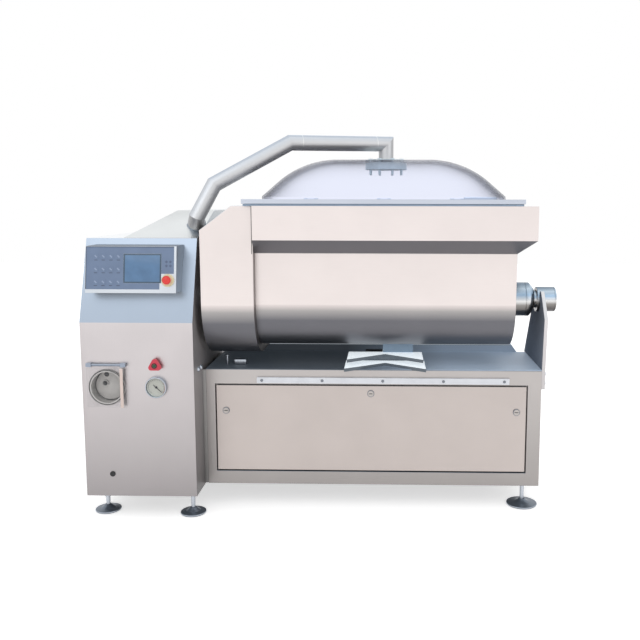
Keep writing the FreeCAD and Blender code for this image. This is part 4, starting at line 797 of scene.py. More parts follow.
    def bead(self, name: str, path: Sequence[Vector], radius_mm: float,
             sides: int = 10) -> bpy.types.Object:
        """Lay a round bead along a path, such as a weld or a seam.

        Args:
            name: Name of the piece.
            path: Points of the bead's middle, in metres.
            radius_mm: Radius of the bead.
            sides: Facets round the bead.

        Returns:
            The new piece as a mesh.
        """
        curve = bpy.data.curves.new(name, "CURVE")
        curve.dimensions = "3D"
        curve.bevel_depth = radius_mm * MM
        curve.bevel_resolution = max(1, sides // 4)
        curve.use_fill_caps = True
        spline = curve.splines.new("POLY")
        spline.points.add(len(path) - 1)
        for point, spot in zip(spline.points, path):
            point.co = (*spot, 1.0)
        holder = show(name + "_path", curve)
        mesh = evaluated_mesh(holder)
        bpy.data.objects.remove(holder)
        mesh.name = name
        mesh.shade_smooth()
        return show(name, mesh)

    def repeated(self, name: str, unit: bpy.types.Object, spots: Sequence[Vector], finish: Finish,
                 turn: Matrix | None = None) -> bpy.types.Object:
        """Set copies of a unit on points with Geometry Nodes and make the result a plain mesh.

        Args:
            name: Name of the piece.
            unit: Object whose mesh is repeated; it is removed afterwards.
            spots: Places of the copies, in metres.
            finish: Finish of the copies.
            turn: Rotation of every copy.

        Returns:
            The new piece.
        """
        points = bpy.data.meshes.new(name + "_points")
        points.from_pydata([tuple(s) for s in spots], [], [])
        piece = show(name, points)
        tree = bpy.data.node_groups.new(name + "_repeat", "GeometryNodeTree")
        tree.interface.new_socket("Geometry", in_out="INPUT", socket_type="NodeSocketGeometry")
        size = tree.interface.new_socket("Unit size", in_out="INPUT", socket_type="NodeSocketFloat")
        size.default_value = 1.0
        tree.interface.new_socket("Geometry", in_out="OUTPUT", socket_type="NodeSocketGeometry")
        start = add_node(tree, "NodeGroupInput")
        source = add_node(tree, "GeometryNodeObjectInfo", {"Object": unit})
        angles = (turn or Matrix.Identity(4)).to_euler()
        copies = add_node(tree, "GeometryNodeInstanceOnPoints", {"Rotation": tuple(angles)},
                          {"Points": start.outputs["Geometry"], "Instance": source.outputs["Geometry"],
                           "Scale": start.outputs["Unit size"]})
        solid = add_node(tree, "GeometryNodeRealizeInstances", links={0: copies.outputs[0]})
        coat = add_node(tree, "GeometryNodeSetMaterial", {"Material": finish.material()},
                        {"Geometry": solid.outputs[0]})
        add_node(tree, "NodeGroupOutput", links={0: coat.outputs[0]})
        growth = piece.modifiers.new("repeat", "NODES")
        growth.node_group = tree
        growth[size.identifier] = 1.0
        self.bake(piece)
        piece.data.set_sharp_from_angle(angle=math.radians(self.smooth_deg))
        bpy.data.objects.remove(unit)
        return piece

    def block(self, name: str, low: Vector, high: Vector, edge_mm: float, turn: Matrix | None = None,
              segments: int = 3) -> bpy.types.Object:
        """Make a block with rounded edges between two corners.

        Args:
            name: Name of the piece.
            low: Its lowest corner, in metres.
            high: Its highest corner, before it is turned.
            edge_mm: Radius of its edges.
            turn: Rotation about the low corner.
            segments: Steps across an edge.

        Returns:
            The new piece.
        """
        shape = bmesh.new()
        bmesh.ops.create_cube(shape, size=1.0)
        size = high - low
        bmesh.ops.scale(shape, vec=size, verts=shape.verts)
        bmesh.ops.translate(shape, vec=size / 2, verts=shape.verts)
        if edge_mm:
            bmesh.ops.bevel(shape, geom=list(shape.edges), offset=edge_mm * MM, segments=segments,
                            profile=0.5, affect="EDGES", clamp_overlap=True)
        bmesh.ops.transform(shape, matrix=Matrix.Translation(low) @ (turn or Matrix.Identity(4)),
                            verts=shape.verts)
        return self.link(name, shape)

    def slab(self, name: str, corner: Vector, low: Sequence[float], high: Sequence[float],
             edge_mm: float) -> bpy.types.Object:
        """Make a block between two corners given in millimetres from a point."""
        return self.block(name, corner + Vector(low) * MM, corner + Vector(high) * MM, edge_mm)


@dataclass
class Cabinet:
    """Control cabinet with its hood, vacuum port and inner drives; sizes in millimetres."""

    shop: Shop
    weld_radius: float = 1.2
    weld_corner: tuple[float, float, float] = (4.0, 1.0, 0.5)
    weld_stop: float = 30.0
    bolt: Profile = ((0, 0), (13, 0), (13, 3), (10, 8), (5, 11), (0, 12))
    bolt_backs: tuple[float, float] = (82.0, 128.0)
    bolt_rise: float = 706.0
    fin: Profile = ((81, 0), (90, 0.8), (90, 2.2), (81, 3))
    fin_count: int = 20
    fin_first: float = 30.0
    fin_pitch: float = 12.0

    def build(self) -> None:
        """Skin the sheet metal and dress the drives inside."""
        self.shop.skins(("cabinet_shell", CABINET_SHEET, 3.0), ("cabinet_hood", HOOD_SHEET, 2.0),
                        ("vacuum_port", PORT_SEAL, 0.6), ("wall_seal", BLACK_RUBBER, 1.0),
                        ("bearing_stand", BASE_SHEET, 1.5), ("main_gearmotor", DRIVE_BLUE, 6.0, 3),
                        ("tilt_gearmotor", DRIVE_BLUE, 4.0, 3), ("tilt_pinion", GEAR_STEEL, 0.5))
        self.seam()
        self.side_bolts()
        self.fins()

    def seam(self) -> None:
        """Lay the welded seam between console and hood."""
        low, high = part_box("cabinet_hood")
        start = low + Vector(self.weld_corner) * MM
        end = Vector((high.x - self.weld_stop * MM, start.y, start.z))
        self.shop.place(self.shop.bead("hood_front_weld", [start, end], self.weld_radius), "cabinet_shell",
                        WELD_STEEL)

    def side_bolts(self) -> None:
        """Set the domed bolts that tie the cabinet's side to the base."""
        low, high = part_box("cabinet_shell")
        unit = self.shop.turned("side_bolt_unit", self.bolt, Vector(), Axis.X, 32)
        spots = [Vector((high.x, low.y + back * MM, self.bolt_rise * MM)) for back in self.bolt_backs]
        self.shop.place(self.shop.repeated("side_bolts", unit, spots, SMALL_STEEL), "cabinet_shell")

    def fins(self) -> None:
        """Ring the main motor with cooling fins."""
        centre, rear = middle("main_gearmotor"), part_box("main_gearmotor")[1].y
        unit = self.shop.turned("motor_fin_unit", self.fin, Vector(), Axis.Y, 48)
        spots = [Vector((centre.x, rear - (self.fin_first + self.fin_pitch * k) * MM, centre.z))
                 for k in range(self.fin_count)]
        self.shop.place(self.shop.repeated("motor_fins", unit, spots, DRIVE_BLUE), "main_gearmotor")


@dataclass
class OperatorPanel:
    """Leaning operator box: film keypad, lit screen and emergency stop; sizes in millimetres."""

    shop: Shop
    lean: float = field(init=False)
    origin: Vector = field(init=False)
    lean_run: float = 33.0
    lean_rise: float = 211.0
    key_pitch: tuple[float, float] = (34.5, 58.0)
    key_first: tuple[float, float] = (48.0, 50.0)
    key_face: float = 2.0
    key_half: tuple[float, float] = (6.8, 3.0)
    caption_half: tuple[float, float] = (7.5, 1.2)
    caption_drop: tuple[float, float] = (16.5, 0.9)
    arrow_half: tuple[float, float] = (5.0, 5.0)
    arrow_first: tuple[float, float] = (370.0, 124.0)
    arrow_pitch: float = 18.0
    slant_deg: float = 45.0
    print_face: float = 1.0
    print_inset: tuple[float, float] = (1.2, 1.5)
    print_radius: float = 1.7
    print_thick: float = 0.2
    film_top: float = 209.5
    screen_rise: tuple[float, float] = (45.0, 134.0)
    mask_inset: float = 0.5
    mask_face: float = 0.6
    pane_inset: float = 7.0
    pane_face: float = 0.8
    pane_thick: float = 0.5
    stop_at: tuple[float, float] = (377.0, 58.0)
    collar: Profile = ((11.3, 0.1), (29, 0.1), (29, 3.6), (28, 4.8), (26.5, 5), (13, 5), (11.3, 4.6))
    mushroom: Profile = ((0, -20), (10.8, -20), (10.8, 19.4), (17, 19.4), (19.2, 20.6), (20, 23),
                         (19.4, 27), (17.5, 31), (14, 34.4), (9, 36.4), (0, 37))

    def __post_init__(self) -> None:
        """Find the leaning face from the box."""
        self.lean = math.atan2(self.lean_run, self.lean_rise)
        self.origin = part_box("hmi_box")[0].copy()

    def turn(self) -> Matrix:
        """Rotation that leans an upright piece with the face."""
        return Matrix.Rotation(-self.lean, 4, "X")

    def spot(self, across: float, up: float, out: float) -> Vector:
        """Point on the leaning face, all in millimetres from its low left corner."""
        return self.origin + self.turn() @ Vector((across * MM, -out * MM, up * MM))

    def outward(self) -> Vector:
        """Direction square to the face."""
        return (self.turn() @ Vector((0, -1, 0))).normalized()

    def build(self) -> None:
        """Make the case, film, keys, screen and button."""
        self.shop.skins(("hmi_box", BOX_STEEL, 1.6), ("hmi_film", FILM, 0.25, 1))
        self.keys()
        self.film_edge()
        self.screen()
        self.stop_button()

    def marks(self, name: str, half: tuple[float, float], spots: Sequence[Vector], ink: Finish,
              slant_deg: float = 0.0) -> None:
        """Print one flat mark on several places of the film.

        Args:
            name: Name of the piece that holds all the marks.
            half: Half the mark's width and height.
            spots: Places of the marks, in metres.
            ink: Finish of the marks.
            slant_deg: Turn of each mark in the face.
        """
        unit = self.shop.block(name + "_unit", Vector((-half[0], -self.print_thick, -half[1])) * MM,
                               Vector((half[0], 0.0, half[1])) * MM, 0.1, segments=1)
        turn = self.turn() @ Matrix.Rotation(math.radians(slant_deg), 4, "Y")
        self.shop.place(self.shop.repeated(name, unit, spots, ink, turn), "hmi_film")

    def keys(self) -> None:
        """Print small slanted marks in a grid with a bar below each, and four arrow keys."""
        spots = [self.spot(self.key_first[0] + column * self.key_pitch[0],
                           self.key_first[1] + row * self.key_pitch[1], self.key_face)
                 for column in range(4) for row in range(3)]
        self.marks("key_symbols", self.key_half, spots, KEY_INK, self.slant_deg)
        drop, sink = self.caption_drop
        shift = self.turn() @ Vector((0, 0, -drop * MM)) - self.outward() * sink * MM
        self.marks("key_captions", self.caption_half, [s + shift for s in spots], FILM_DARK)
        spots = [self.spot(self.arrow_first[0] + self.arrow_pitch * column,
                           self.arrow_first[1] + self.arrow_pitch * row, self.print_face + 0.1)
                 for column in range(2) for row in range(2)]
        self.marks("arrow_symbols", self.arrow_half, spots, ARROW_INK, self.slant_deg)

    def film_edge(self) -> None:
        """Draw the dark printed edge along the film's left and upper sides."""
        low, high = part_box("hmi_film")
        aside, above = self.print_inset
        left, right = (low.x - self.origin.x) / MM + aside, (high.x - self.origin.x) / MM - aside
        foot = (low.z - self.origin.z) / MM / math.cos(self.lean) + above
        path = [self.spot(across, up, self.print_face)
                for across, up in ((left, foot), (left, self.film_top), (right, self.film_top))]
        self.shop.place(self.shop.bead("film_edge_print", path, self.print_radius, sides=6), "hmi_film",
                        FILM_DARK)

    def screen(self) -> None:
        """Set a lit pane in a dark mask with rounded corners."""
        low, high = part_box("hmi_screen")
        width, height = (high.x - low.x) / MM, self.screen_rise[1]
        left, foot = (low.x - self.origin.x) / MM, self.screen_rise[0]
        for name, inset, out, finish, stands_for in (
                ("screen_mask", self.mask_inset, self.mask_face, SCREEN_FRAME, ["hmi_screen"]),
                ("screen_pane", self.pane_inset, self.pane_face, SCREEN, [])):
            start = self.spot(left + inset, foot + inset, out)
            end = start + Vector((width - 2 * inset, self.pane_thick, height - 2 * inset)) * MM
            self.shop.place(self.shop.block(name, start, end, 0.2, self.turn()), "hmi_screen", finish,
                            stands_for)

    def stop_button(self) -> None:
        """Turn the collar ring and the mushroom head with its stem."""
        foot = self.spot(*self.stop_at, 0)
        for name, profile, node, finish in (("stop_collar", self.collar, "estop_ring", YELLOW),
                                            ("stop_mushroom", self.mushroom, "estop_button", RED)):
            self.shop.place(self.shop.turned(name, profile, foot, self.outward()), node, finish, [node])


@dataclass
class FrontFittings:
    """Vacuum trap, vent valve, gauge and plug on the cabinet front; sizes in millimetres."""

    shop: Shop
    lip: Profile = ((73.3, 0.2), (74.2, -0.2), (77.6, -0.2), (78.6, 0.2), (78.6, 2), (73.3, 2))
    seal: Profile = ((79.0, 0.2), (79.6, -0.3), (83.6, -0.3), (84.8, 1.0), (84.8, 4), (79.0, 4))
    baffle: Profile = ((0, 46.5), (66.0, 46.5), (68.0, 47.5), (68.0, 49.0), (0, 49.0))
    bore: Profile = ((0, 46.2), (9.5, 46.2), (10.5, 45.6), (11.5, 46.2), (11.5, 46.8), (0, 46.8))
    outlet_at: tuple[float, float, float] = (-15.0, 0.0, 52.0)
    inlet_at: tuple[float, float, float] = (-23.2, -7.8, 10.8)
    grip_inset: float = 26.0
    grip_width: float = 14.0
    knob_insert: Profile = ((0, -0.6), (7, -0.6), (8, 0.2), (8, 2), (0, 2))
    knob_bezel: Profile = ((8.4, -0.4), (12, -0.4), (12.8, 0.4), (12.8, 2), (8.4, 2))
    case: Profile = ((0, 13.4), (44.6, 13.4), (44.6, 2.5), (45.4, 0.4), (47, 0), (49, 0.8), (50, 3),
                     (50, 18), (10, 18), (10, 46), (0, 46))
    dial: Profile = ((0, 13.0), (44.4, 13.0), (44.4, 13.5), (0, 13.5))
    print_deep: float = 12.9
    tick_half: tuple[float, float, float] = (0.6, 0.2, 2.8)
    tick_radius: float = 36.0
    tick_steps: int = 20
    dial_start_deg: float = 225.0
    dial_sweep_deg: float = 270.0
    red_radius: float = 41.0
    red_from: int = 14
    red_line: float = 0.8
    plug: Profile = ((0, 0.8), (5, 0.8), (6, 0), (11.8, 0), (13, 1.2), (13, 4), (11, 4), (11, 16.5),
                     (0, 16.5))

    def build(self) -> None:
        """Make each fitting in place."""
        self.trap()
        self.valve()
        self.gauge()
        self.rounds("blanking_plug", foot_of("blanking_plug", Axis.Y),
                    [("plug_head", self.plug, BLACK, ["blanking_plug"])])

    def rounds(self, node: str, centre: Vector, rows: Iterable[tuple]) -> None:
        """Turn round pieces about an axis that runs into the machine.

        Args:
            node: Node that carries them.
            centre: Foot of the axis, in metres.
            rows: Name, outline, finish and the nodes that the piece stands for.
        """
        for name, profile, finish, stands_for in rows:
            self.shop.place(self.shop.turned(name, profile, centre, Axis.Y), node, finish, stands_for)

    def trap(self) -> None:
        """Skin the bowl and cover; add lip, seal, baffle with its two dark ports, and the cover's grip."""
        shop = self.shop
        shop.skins(("trap_bowl", BOWL_STEEL, 0.8), ("trap_cover", CLEAR_COVER, 0.3, 1),
                   ("cover_hinge", HINGE_STEEL, 0.8))
        centre = foot_of("trap_bowl", Axis.Y)
        self.rounds("trap_bowl", centre, [("trap_lip", self.lip, BOWL_STEEL, []),
                                          ("trap_seal", self.seal, NITRILE_AND_HOLE_SHADE, []),
                                          ("trap_baffle", self.baffle, BOWL_STEEL, [])])
        # Each port is a thin dark disc: painted shade inside the opening
        for name, shift in (("trap_outlet", self.outlet_at), ("trap_inlet", self.inlet_at)):
            port = shop.turned(name, self.bore, centre + Vector(shift) * MM, Axis.Y, 40)
            shop.place(port, "trap_bowl", NITRILE_AND_HOLE_SHADE)
        low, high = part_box("trap_cover")
        corner = Vector((high.x - self.grip_inset * MM, low.y, low.z))
        rise = (high.z - low.z) / MM - self.grip_inset
        grip = shop.slab("cover_grip", corner, (0, -0.2, 0), (self.grip_width, 2, rise), 0.5)
        shop.place(grip, "trap_cover", STRIP_ACRYLIC)

    def valve(self) -> None:
        """Skin the body and the lobed knob, and turn the knob's insert and bezel."""
        self.shop.skins(("valve_body", SMALL_STEEL, 1.0), ("valve_knob", KNOB_RED, 3.0, 4))
        self.rounds("valve_knob", foot_of("valve_body", Axis.Y, "valve_knob"),
                    [("knob_insert", self.knob_insert, GREEN, []), ("knob_bezel", self.knob_bezel, BLACK, [])])

    def gauge(self) -> None:
        """Turn the case and set a dial with ticks, a red arc and a pointer."""
        shop = self.shop
        centre = foot_of("gauge_case", Axis.Y)
        self.rounds("gauge_case", centre, [("gauge_body", self.case, SMALL_STEEL, ["gauge_case"]),
                                           ("dial_face", self.dial, DIAL, [])])
        turns = [math.radians(self.dial_start_deg - self.dial_sweep_deg * k / self.tick_steps)
                 for k in range(self.tick_steps + 1)]
        half = Vector(self.tick_half) * MM
        tick = shop.block("tick_unit", -half, Vector((half.x, 0, half.z)), 0)
        spots = [self.on_dial(centre, self.tick_radius, turn) for turn in turns]
        shop.place(shop.repeated("dial_ticks", tick, spots, DIAL_INK), "gauge_case")
        arc = [self.on_dial(centre, self.red_radius, turn) for turn in turns[self.red_from:]]
        shop.place(shop.bead("dial_red_arc", arc, self.red_line, sides=6), "gauge_case", DIAL_RED)
        shop.skins(("gauge_needle", DIAL_INK, 0.2, 1), ("gauge_lens", CLEAR_LENS, 0.5))

    def on_dial(self, centre: Vector, radius: float, turn: float) -> Vector:
        """Point on the dial's face at a radius and an angle."""
        return centre + Vector((radius * math.cos(turn), self.print_deep, radius * math.sin(turn))) * MM


@dataclass
class Base:
    """Base body with deck, access panel, strip, V ledges and cradle; sizes in millimetres."""

    shop: Shop
    deck_rise: float = 694.0
    joint_gap: float = 0.3
    joint_depths: tuple[float, float] = (1.0, 6.0)
    joint_rises: tuple[float, float] = (118.0, 688.0)
    # Painted highlight bead along the deck's upstand
    highlight_at: tuple[float, float] = (443.6, 20.5)
    highlight_ends: tuple[float, float] = (52.0, 76.0)
    highlight_radius: float = 1.8
    cap_low: tuple[float, float, float] = (-99.8, 186.5, 0.1)
    cap_high: tuple[float, float, float] = (-1.0, -0.5, 1.6)
    lock_head: float = 14.0
    lock_bezel: Profile = ((14.3, 0), (16.4, 0), (16.8, 0.6), (16.8, 4.6), (14.3, 4.6))
    lock_slot: tuple[float, float] = (7.5, 1.9)
    screw: Profile = ((0, 1.4), (2.2, 1.4), (2.6, 0.2), (4.5, 0.0), (6.3, 0.9), (7, 2.4), (7, 3), (3.5, 3),
                      (3.5, 14.9), (0, 14.9))
    screw_radius: float = 7.0
    screws: int = 5
    switch_low: tuple[float, float, float] = (105.0, 90.0, 0.0)
    switch_high: tuple[float, float, float] = (165.0, 120.0, 26.0)
    post_at: tuple[float, float, float] = (70.0, 100.0, 0.0)
    post: Profile = ((0, 0), (5, 0), (5, 40), (8, 42), (8, 46), (5, 48), (0, 48))

    def build(self) -> None:
        """Skin the sheet metal and add the fasteners."""
        self.shop.skins(("base_frame", BASE_SHEET, 2.5), ("deck_plate", DECK_SHEET, 1.0),
                        ("access_panel", PANEL_SHEET, 1.5), ("bumper_strip", WHITE_PE, 1.5),
                        ("v_ledge_lower", LEDGE_SHEET, 1.0), ("v_ledge_upper", LEDGE_SHEET, 1.0),
                        ("cradle_pad", CRADLE_PE, 2.0))
        self.joining_strip()
        self.upstand_edge()
        self.riser_cap()
        self.locks()
        self.strip_screws()
        self.rest_switch()
        self.shop.skins(("pump_set", DRIVE_GREY, 4.0, 3), ("pump_coupling", SMALL_STEEL, 1.0))

    def joining_strip(self) -> None:
        """Close the slot beside the cabinet with a folded strip."""
        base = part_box("base_frame")[0]
        left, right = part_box("cabinet_shell")[1].x + self.joint_gap * MM, base.x - self.joint_gap * MM
        (front, back), (foot, top) = self.joint_depths, self.joint_rises
        strip = self.shop.block("joining_strip", Vector((left, base.y + front * MM, foot * MM)),
                                Vector((right, base.y + back * MM, top * MM)), 0.5)
        self.shop.place(strip, "base_frame", STRIP_SHEET)

    def upstand_edge(self) -> None:
        """Lay a thin bead along the upstand as a painted highlight line."""
        low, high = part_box("deck_plate")
        (back, drop), (left, right) = self.highlight_at, self.highlight_ends
        face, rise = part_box("base_frame")[0].y + back * MM, high.z - drop * MM
        edge = [Vector((low.x + left * MM, face, rise)), Vector((high.x - right * MM, face, rise))]
        self.shop.place(self.shop.bead("upstand_edge", edge, self.highlight_radius), "deck_plate", LEDGE_SHEET)

    def riser_cap(self) -> None:
        """Lay a rubber cap on the riser behind the upper ledge, beside the cradle pad."""
        low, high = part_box("v_ledge_upper")
        left = Vector((middle("v_ledge_upper").x, low.y, high.z)) + Vector(self.cap_low) * MM
        right = Vector((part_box("cradle_pad")[0].x, high.y, high.z)) + Vector(self.cap_high) * MM
        self.shop.place(self.shop.block("riser_cap", left, right, 0.3), "v_ledge_upper", BLACK_RUBBER)

    def locks(self) -> None:
        """Keep the lock heads with their cams, and add a bezel and a key slot to each."""
        shop = self.shop
        for side in ("left", "middle", "right"):
            node = f"panel_lock_{side}"
            shop.skin(node, LOCK_STEEL, 0.7)
            low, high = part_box(node)
            head = self.lock_head * MM
            x = {"left": high.x - head, "middle": middle(node).x, "right": low.x + head}[side]
            centre = Vector((x, low.y, low.z + head))
            bezel = shop.turned(f"lock_bezel_{side}", self.lock_bezel, centre + Vector((0, 0.6, 0)) * MM,
                                Axis.Y)
            shop.place(bezel, "access_panel", SCREW_STEEL)
            # The key slot is a thin dark block: painted shade in the recess
            wide, tall = self.lock_slot
            slot = shop.slab(f"lock_slot_{side}", centre, (-wide, -0.2, -tall), (wide, 1.2, tall), 0.3)
            shop.place(slot, node, NITRILE_AND_HOLE_SHADE)

    def rest_switch(self) -> None:
        """Set the small switch on the deck that tells when the trough is level."""
        shop = self.shop
        corner = Vector((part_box("drive_casing")[0].x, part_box("deck_plate")[0].y, self.deck_rise * MM))
        body = shop.slab("rest_switch_body", corner, self.switch_low, self.switch_high, 3.0)
        shop.place(body, "deck_plate", SMALL_STEEL)
        stem = shop.turned("rest_switch_post", self.post, corner + Vector(self.post_at) * MM, Axis.Z, 32)
        shop.place(stem, "deck_plate", SMALL_STEEL)

    def strip_screws(self) -> None:
        """Set pan-head screws along the strip."""
        low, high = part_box("bumper_screws")
        unit = self.shop.turned("screw_unit", self.screw, Vector(), Axis.Y, 32)
        first = low.x + self.screw_radius * MM
        run = high.x - low.x - 2 * self.screw_radius * MM
        spots = [Vector((first + run * k / (self.screws - 1), low.y, middle("bumper_screws").z))
                 for k in range(self.screws)]
        piece = self.shop.repeated("strip_screws", unit, spots, SCREW_STEEL)
        self.shop.place(piece, "bumper_screws", None, ["bumper_screws"])


@dataclass
class EndBearing:
    """Leaning end plate with the bearing that carries the right trunnion; sizes in millimetres."""

    shop: Shop
    housing: Profile = ((45.2, 0), (59.5, 0), (61, 1.5), (61, 80.5), (60.2, 82), (60.2, 82.8), (61, 83.6),
                        (61, 88), (58, 92), (52, 93.8), (0, 93.9), (0, 82.2), (45.2, 82.2))
    bush: Profile = ((35.06, 0.3), (45.1, 0.3), (45.1, 82), (35.06, 82))
    bolt: Profile = ((0, 0), (11, 0), (11, 6.4), (9.5, 7.6), (0, 7.6))
    bolt_backs: tuple[float, ...] = (60, 200, 340, 440)
    bolt_rises: tuple[float, ...] = (25, 70)
    painted_reflection_foot: float = 696.0
    painted_reflection_thick: float = 0.8

    def build(self) -> None:
        """Skin the plate and cover its inner face with painted reflection, turn the housing with its bush, and
        set the plate's bolts.
        """
        shop = self.shop
        shop.skin("end_plate", PLATE_STEEL, 1.2)
        self.painted_reflection()
        centre = foot_of("bearing_housing", Axis.X)
        shop.place(shop.turned("bearing_body", self.housing, centre, Axis.X, 96), "bearing_housing",
                   TURNED_STEEL, ["bearing_housing"])
        shop.place(shop.turned("bearing_bush", self.bush, centre, Axis.X), "bearing_housing", BRONZE)
        unit = shop.turned("plate_bolt_unit", self.bolt, Vector(), Axis.X, 6)
        low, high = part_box("end_plate")
        spots = [Vector((high.x, low.y + back * MM, low.z + up * MM))
                 for back in self.bolt_backs for up in self.bolt_rises]
        shop.place(shop.repeated("plate_bolts", unit, spots, SMALL_STEEL), "end_plate")

    def painted_reflection(self) -> None:
        """Cover the plate's inner face, above the deck, with a matt grey sheet of painted dark reflection."""
        shape = self.shop.merged("end_plate")
        others = [face for face in shape.faces if face.normal.x > -0.99]
        bmesh.ops.delete(shape, geom=others, context="FACES")
        bmesh.ops.bisect_plane(shape, geom=[*shape.verts, *shape.edges, *shape.faces],
                               plane_co=(0, 0, self.painted_reflection_foot * MM), plane_no=(0, 0, 1), clear_inner=True)
        piece = show("plate_lining", to_mesh("plate_lining", shape))
        sheet = piece.modifiers.new("sheet", "SOLIDIFY")
        sheet.thickness = self.painted_reflection_thick * MM
        sheet.offset = 1.0
        self.shop.bake(piece)
        self.shop.place(piece, "end_plate", PLATE_PAINTED_REFLECTION)


@dataclass
class Drum:
    """Tilting trough with its casing, rim, trunnions and lid hinge; sizes in millimetres."""

    shop: Shop
    collar_radius: float = 83.0
    collar_weld: Profile = ((82, 0.0), (87, 0.0), (87, 1.0), (85, 2.8), (83, 3.6), (82, 3.6))
    neck_radius: float = 35.0
    bore_radius: float = 25.06
    band_weld_radius: float = 1.2
    band_weld_start: float = 4.0
    seam_radius: float = 1.5
    seam_out: tuple[float, float] = (0.8, 0.2)
    seam_ends: float = 1.0

    def build(self) -> None:
        """Skin the sheet metal and turn the trunnion."""
        self.shop.skins(("trough", DRUM_SHEET, 1.5), ("rim_band", BAND_SHEET, 1.8),
                        ("drive_casing", DRUM_SHEET, 4.0, 3), ("rim_gasket", SEAL, 2.0),
                        ("hinge_lugs", SMALL_STEEL, 1.0), ("lid_actuator", SMALL_STEEL, 2.0),
                        ("rear_shaft_bearings", SMALL_STEEL, 1.5), ("shaft_seals", BLACK_RUBBER, 0.6),
                        ("left_trunnion", SMALL_STEEL, 1.0), ("tilt_wheel", GEAR_STEEL, 0.5, 1))
        self.right_trunnion()
        self.welds()

    def right_trunnion(self) -> None:
        """Turn the stepped collar, its grooves and the neck."""
        low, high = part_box("right_trunnion")
        length = (high.x - low.x) / MM
        clear = (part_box("bearing_housing")[0].x - low.x) / MM - 1
        collar, neck, bore = self.collar_radius, self.neck_radius, self.bore_radius
        outline = [(bore, 0), (collar, 0), (collar, 72), (81.4, 73.5), (81.4, 75), (collar, 76.5),
                   (collar, 94), (81, 98), (58, 116), (54, 118), (42, 118), (42, clear), (neck, clear),
                   (neck, length), (0, length), (0, 83), (bore, 83)]
        piece = self.shop.turned("trunnion_collar", outline, foot_of("right_trunnion", Axis.X), Axis.X, 96)
        self.shop.place(piece, "right_trunnion", TURNED_STEEL, ["right_trunnion"])

    def welds(self) -> None:
        """Lay ground welds where the band meets the wall and round the collar, and the casing's seam."""
        shop = self.shop
        low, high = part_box("trough")
        band_low, band_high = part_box("rim_band")
        left = low.x + self.band_weld_start * MM
        path = [Vector((x, y, band_low.z))
                for x, y in ((left, low.y), (high.x, low.y), (high.x, high.y), (left, high.y))]
        shop.place(shop.bead("band_foot_weld", path, self.band_weld_radius), "rim_band", WELD_STEEL)
        aside, ahead = self.seam_out
        x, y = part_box("drive_casing")[1].x + aside * MM, band_low.y - ahead * MM
        seam = [Vector((x, y, z)) for z in (band_low.z + self.seam_ends * MM,
                                            band_high.z - self.seam_ends * MM)]
        shop.place(shop.bead("casing_seam", seam, self.seam_radius), "rim_band", BLACK_RUBBER)
        ring = shop.turned("collar_weld", self.collar_weld, foot_of("right_trunnion", Axis.X), Axis.X)
        shop.place(ring, "right_trunnion", WELD_STEEL)


@dataclass
class Agitators:
    """Both paddle shafts and their gears."""

    shop: Shop

    def build(self) -> None:
        """Skin the shafts, paddles and gears."""
        self.shop.skins(("agitator_front", PADDLE_STEEL, 1.5), ("agitator_rear", PADDLE_STEEL, 1.5),
                        ("gear_front", GEAR_STEEL, 0.7, 1), ("gear_rear", GEAR_STEEL, 0.7, 1))


@dataclass
class DomeForm:
    """Rounded rectangular dome, as loops drawn in from its edge, in millimetres."""

    half_x: float
    half_y: float
    height: float = 197.0
    reach: float = 380.0
    step: float = 14.0
    slope: float = math.radians(41.0)
    wall: float = 8.0
    corner_steps: int = 14
    slope_steps: int = 6
    arc_steps: int = 22

    @property
    def radius(self) -> float:
        """Radius of the arc that leads the slope into the level top."""
        rise = math.tan(self.slope)
        return (self.step + rise * self.reach - self.height) / (rise * math.sin(self.slope)
                                                                - (1 - math.cos(self.slope)))

    def profile(self, wall: float) -> list[tuple[float, float]]:
        """Section from the edge to the level top.

        Args:
            wall: How far the section is drawn in from the outer one.

        Returns:
            Insets and heights.
        """
        bend = self.radius - wall
        foot = self.height - self.radius
        knee = (self.reach - bend * math.sin(self.slope), foot + bend * math.cos(self.slope))
        start = (wall, knee[1] - (knee[0] - wall) * math.tan(self.slope))
        run, rise = knee[0] - start[0], knee[1] - start[1]
        points = [(wall, 0.0), start]
        points += [(start[0] + run * k / self.slope_steps, start[1] + rise * k / self.slope_steps)
                   for k in range(1, self.slope_steps)]
        turns = [self.slope * (1 - k / self.arc_steps) for k in range(self.arc_steps + 1)]
        return points + [(self.reach - bend * math.sin(turn), foot + bend * math.cos(turn))
                         for turn in turns]

    def loop(self, inset: float) -> list[tuple[float, float]]:
        """Rounded rectangle at an inset.

        Args:
            inset: Distance from the dome's edge.

        Returns:
            Points across and back, round the dome.
        """
        core = (self.half_x - self.reach, self.half_y - self.reach)
        radius = max(self.reach - inset, 0.4)
        spots = []
        for quarter, (sx, sy) in enumerate(((1, 1), (-1, 1), (-1, -1), (1, -1))):
            for k in range(self.corner_steps + 1):
                turn = math.pi / 2 * (quarter + k / self.corner_steps)
                spots.append((sx * core[0] + radius * math.cos(turn), sy * core[1] + radius * math.sin(turn)))
        return spots


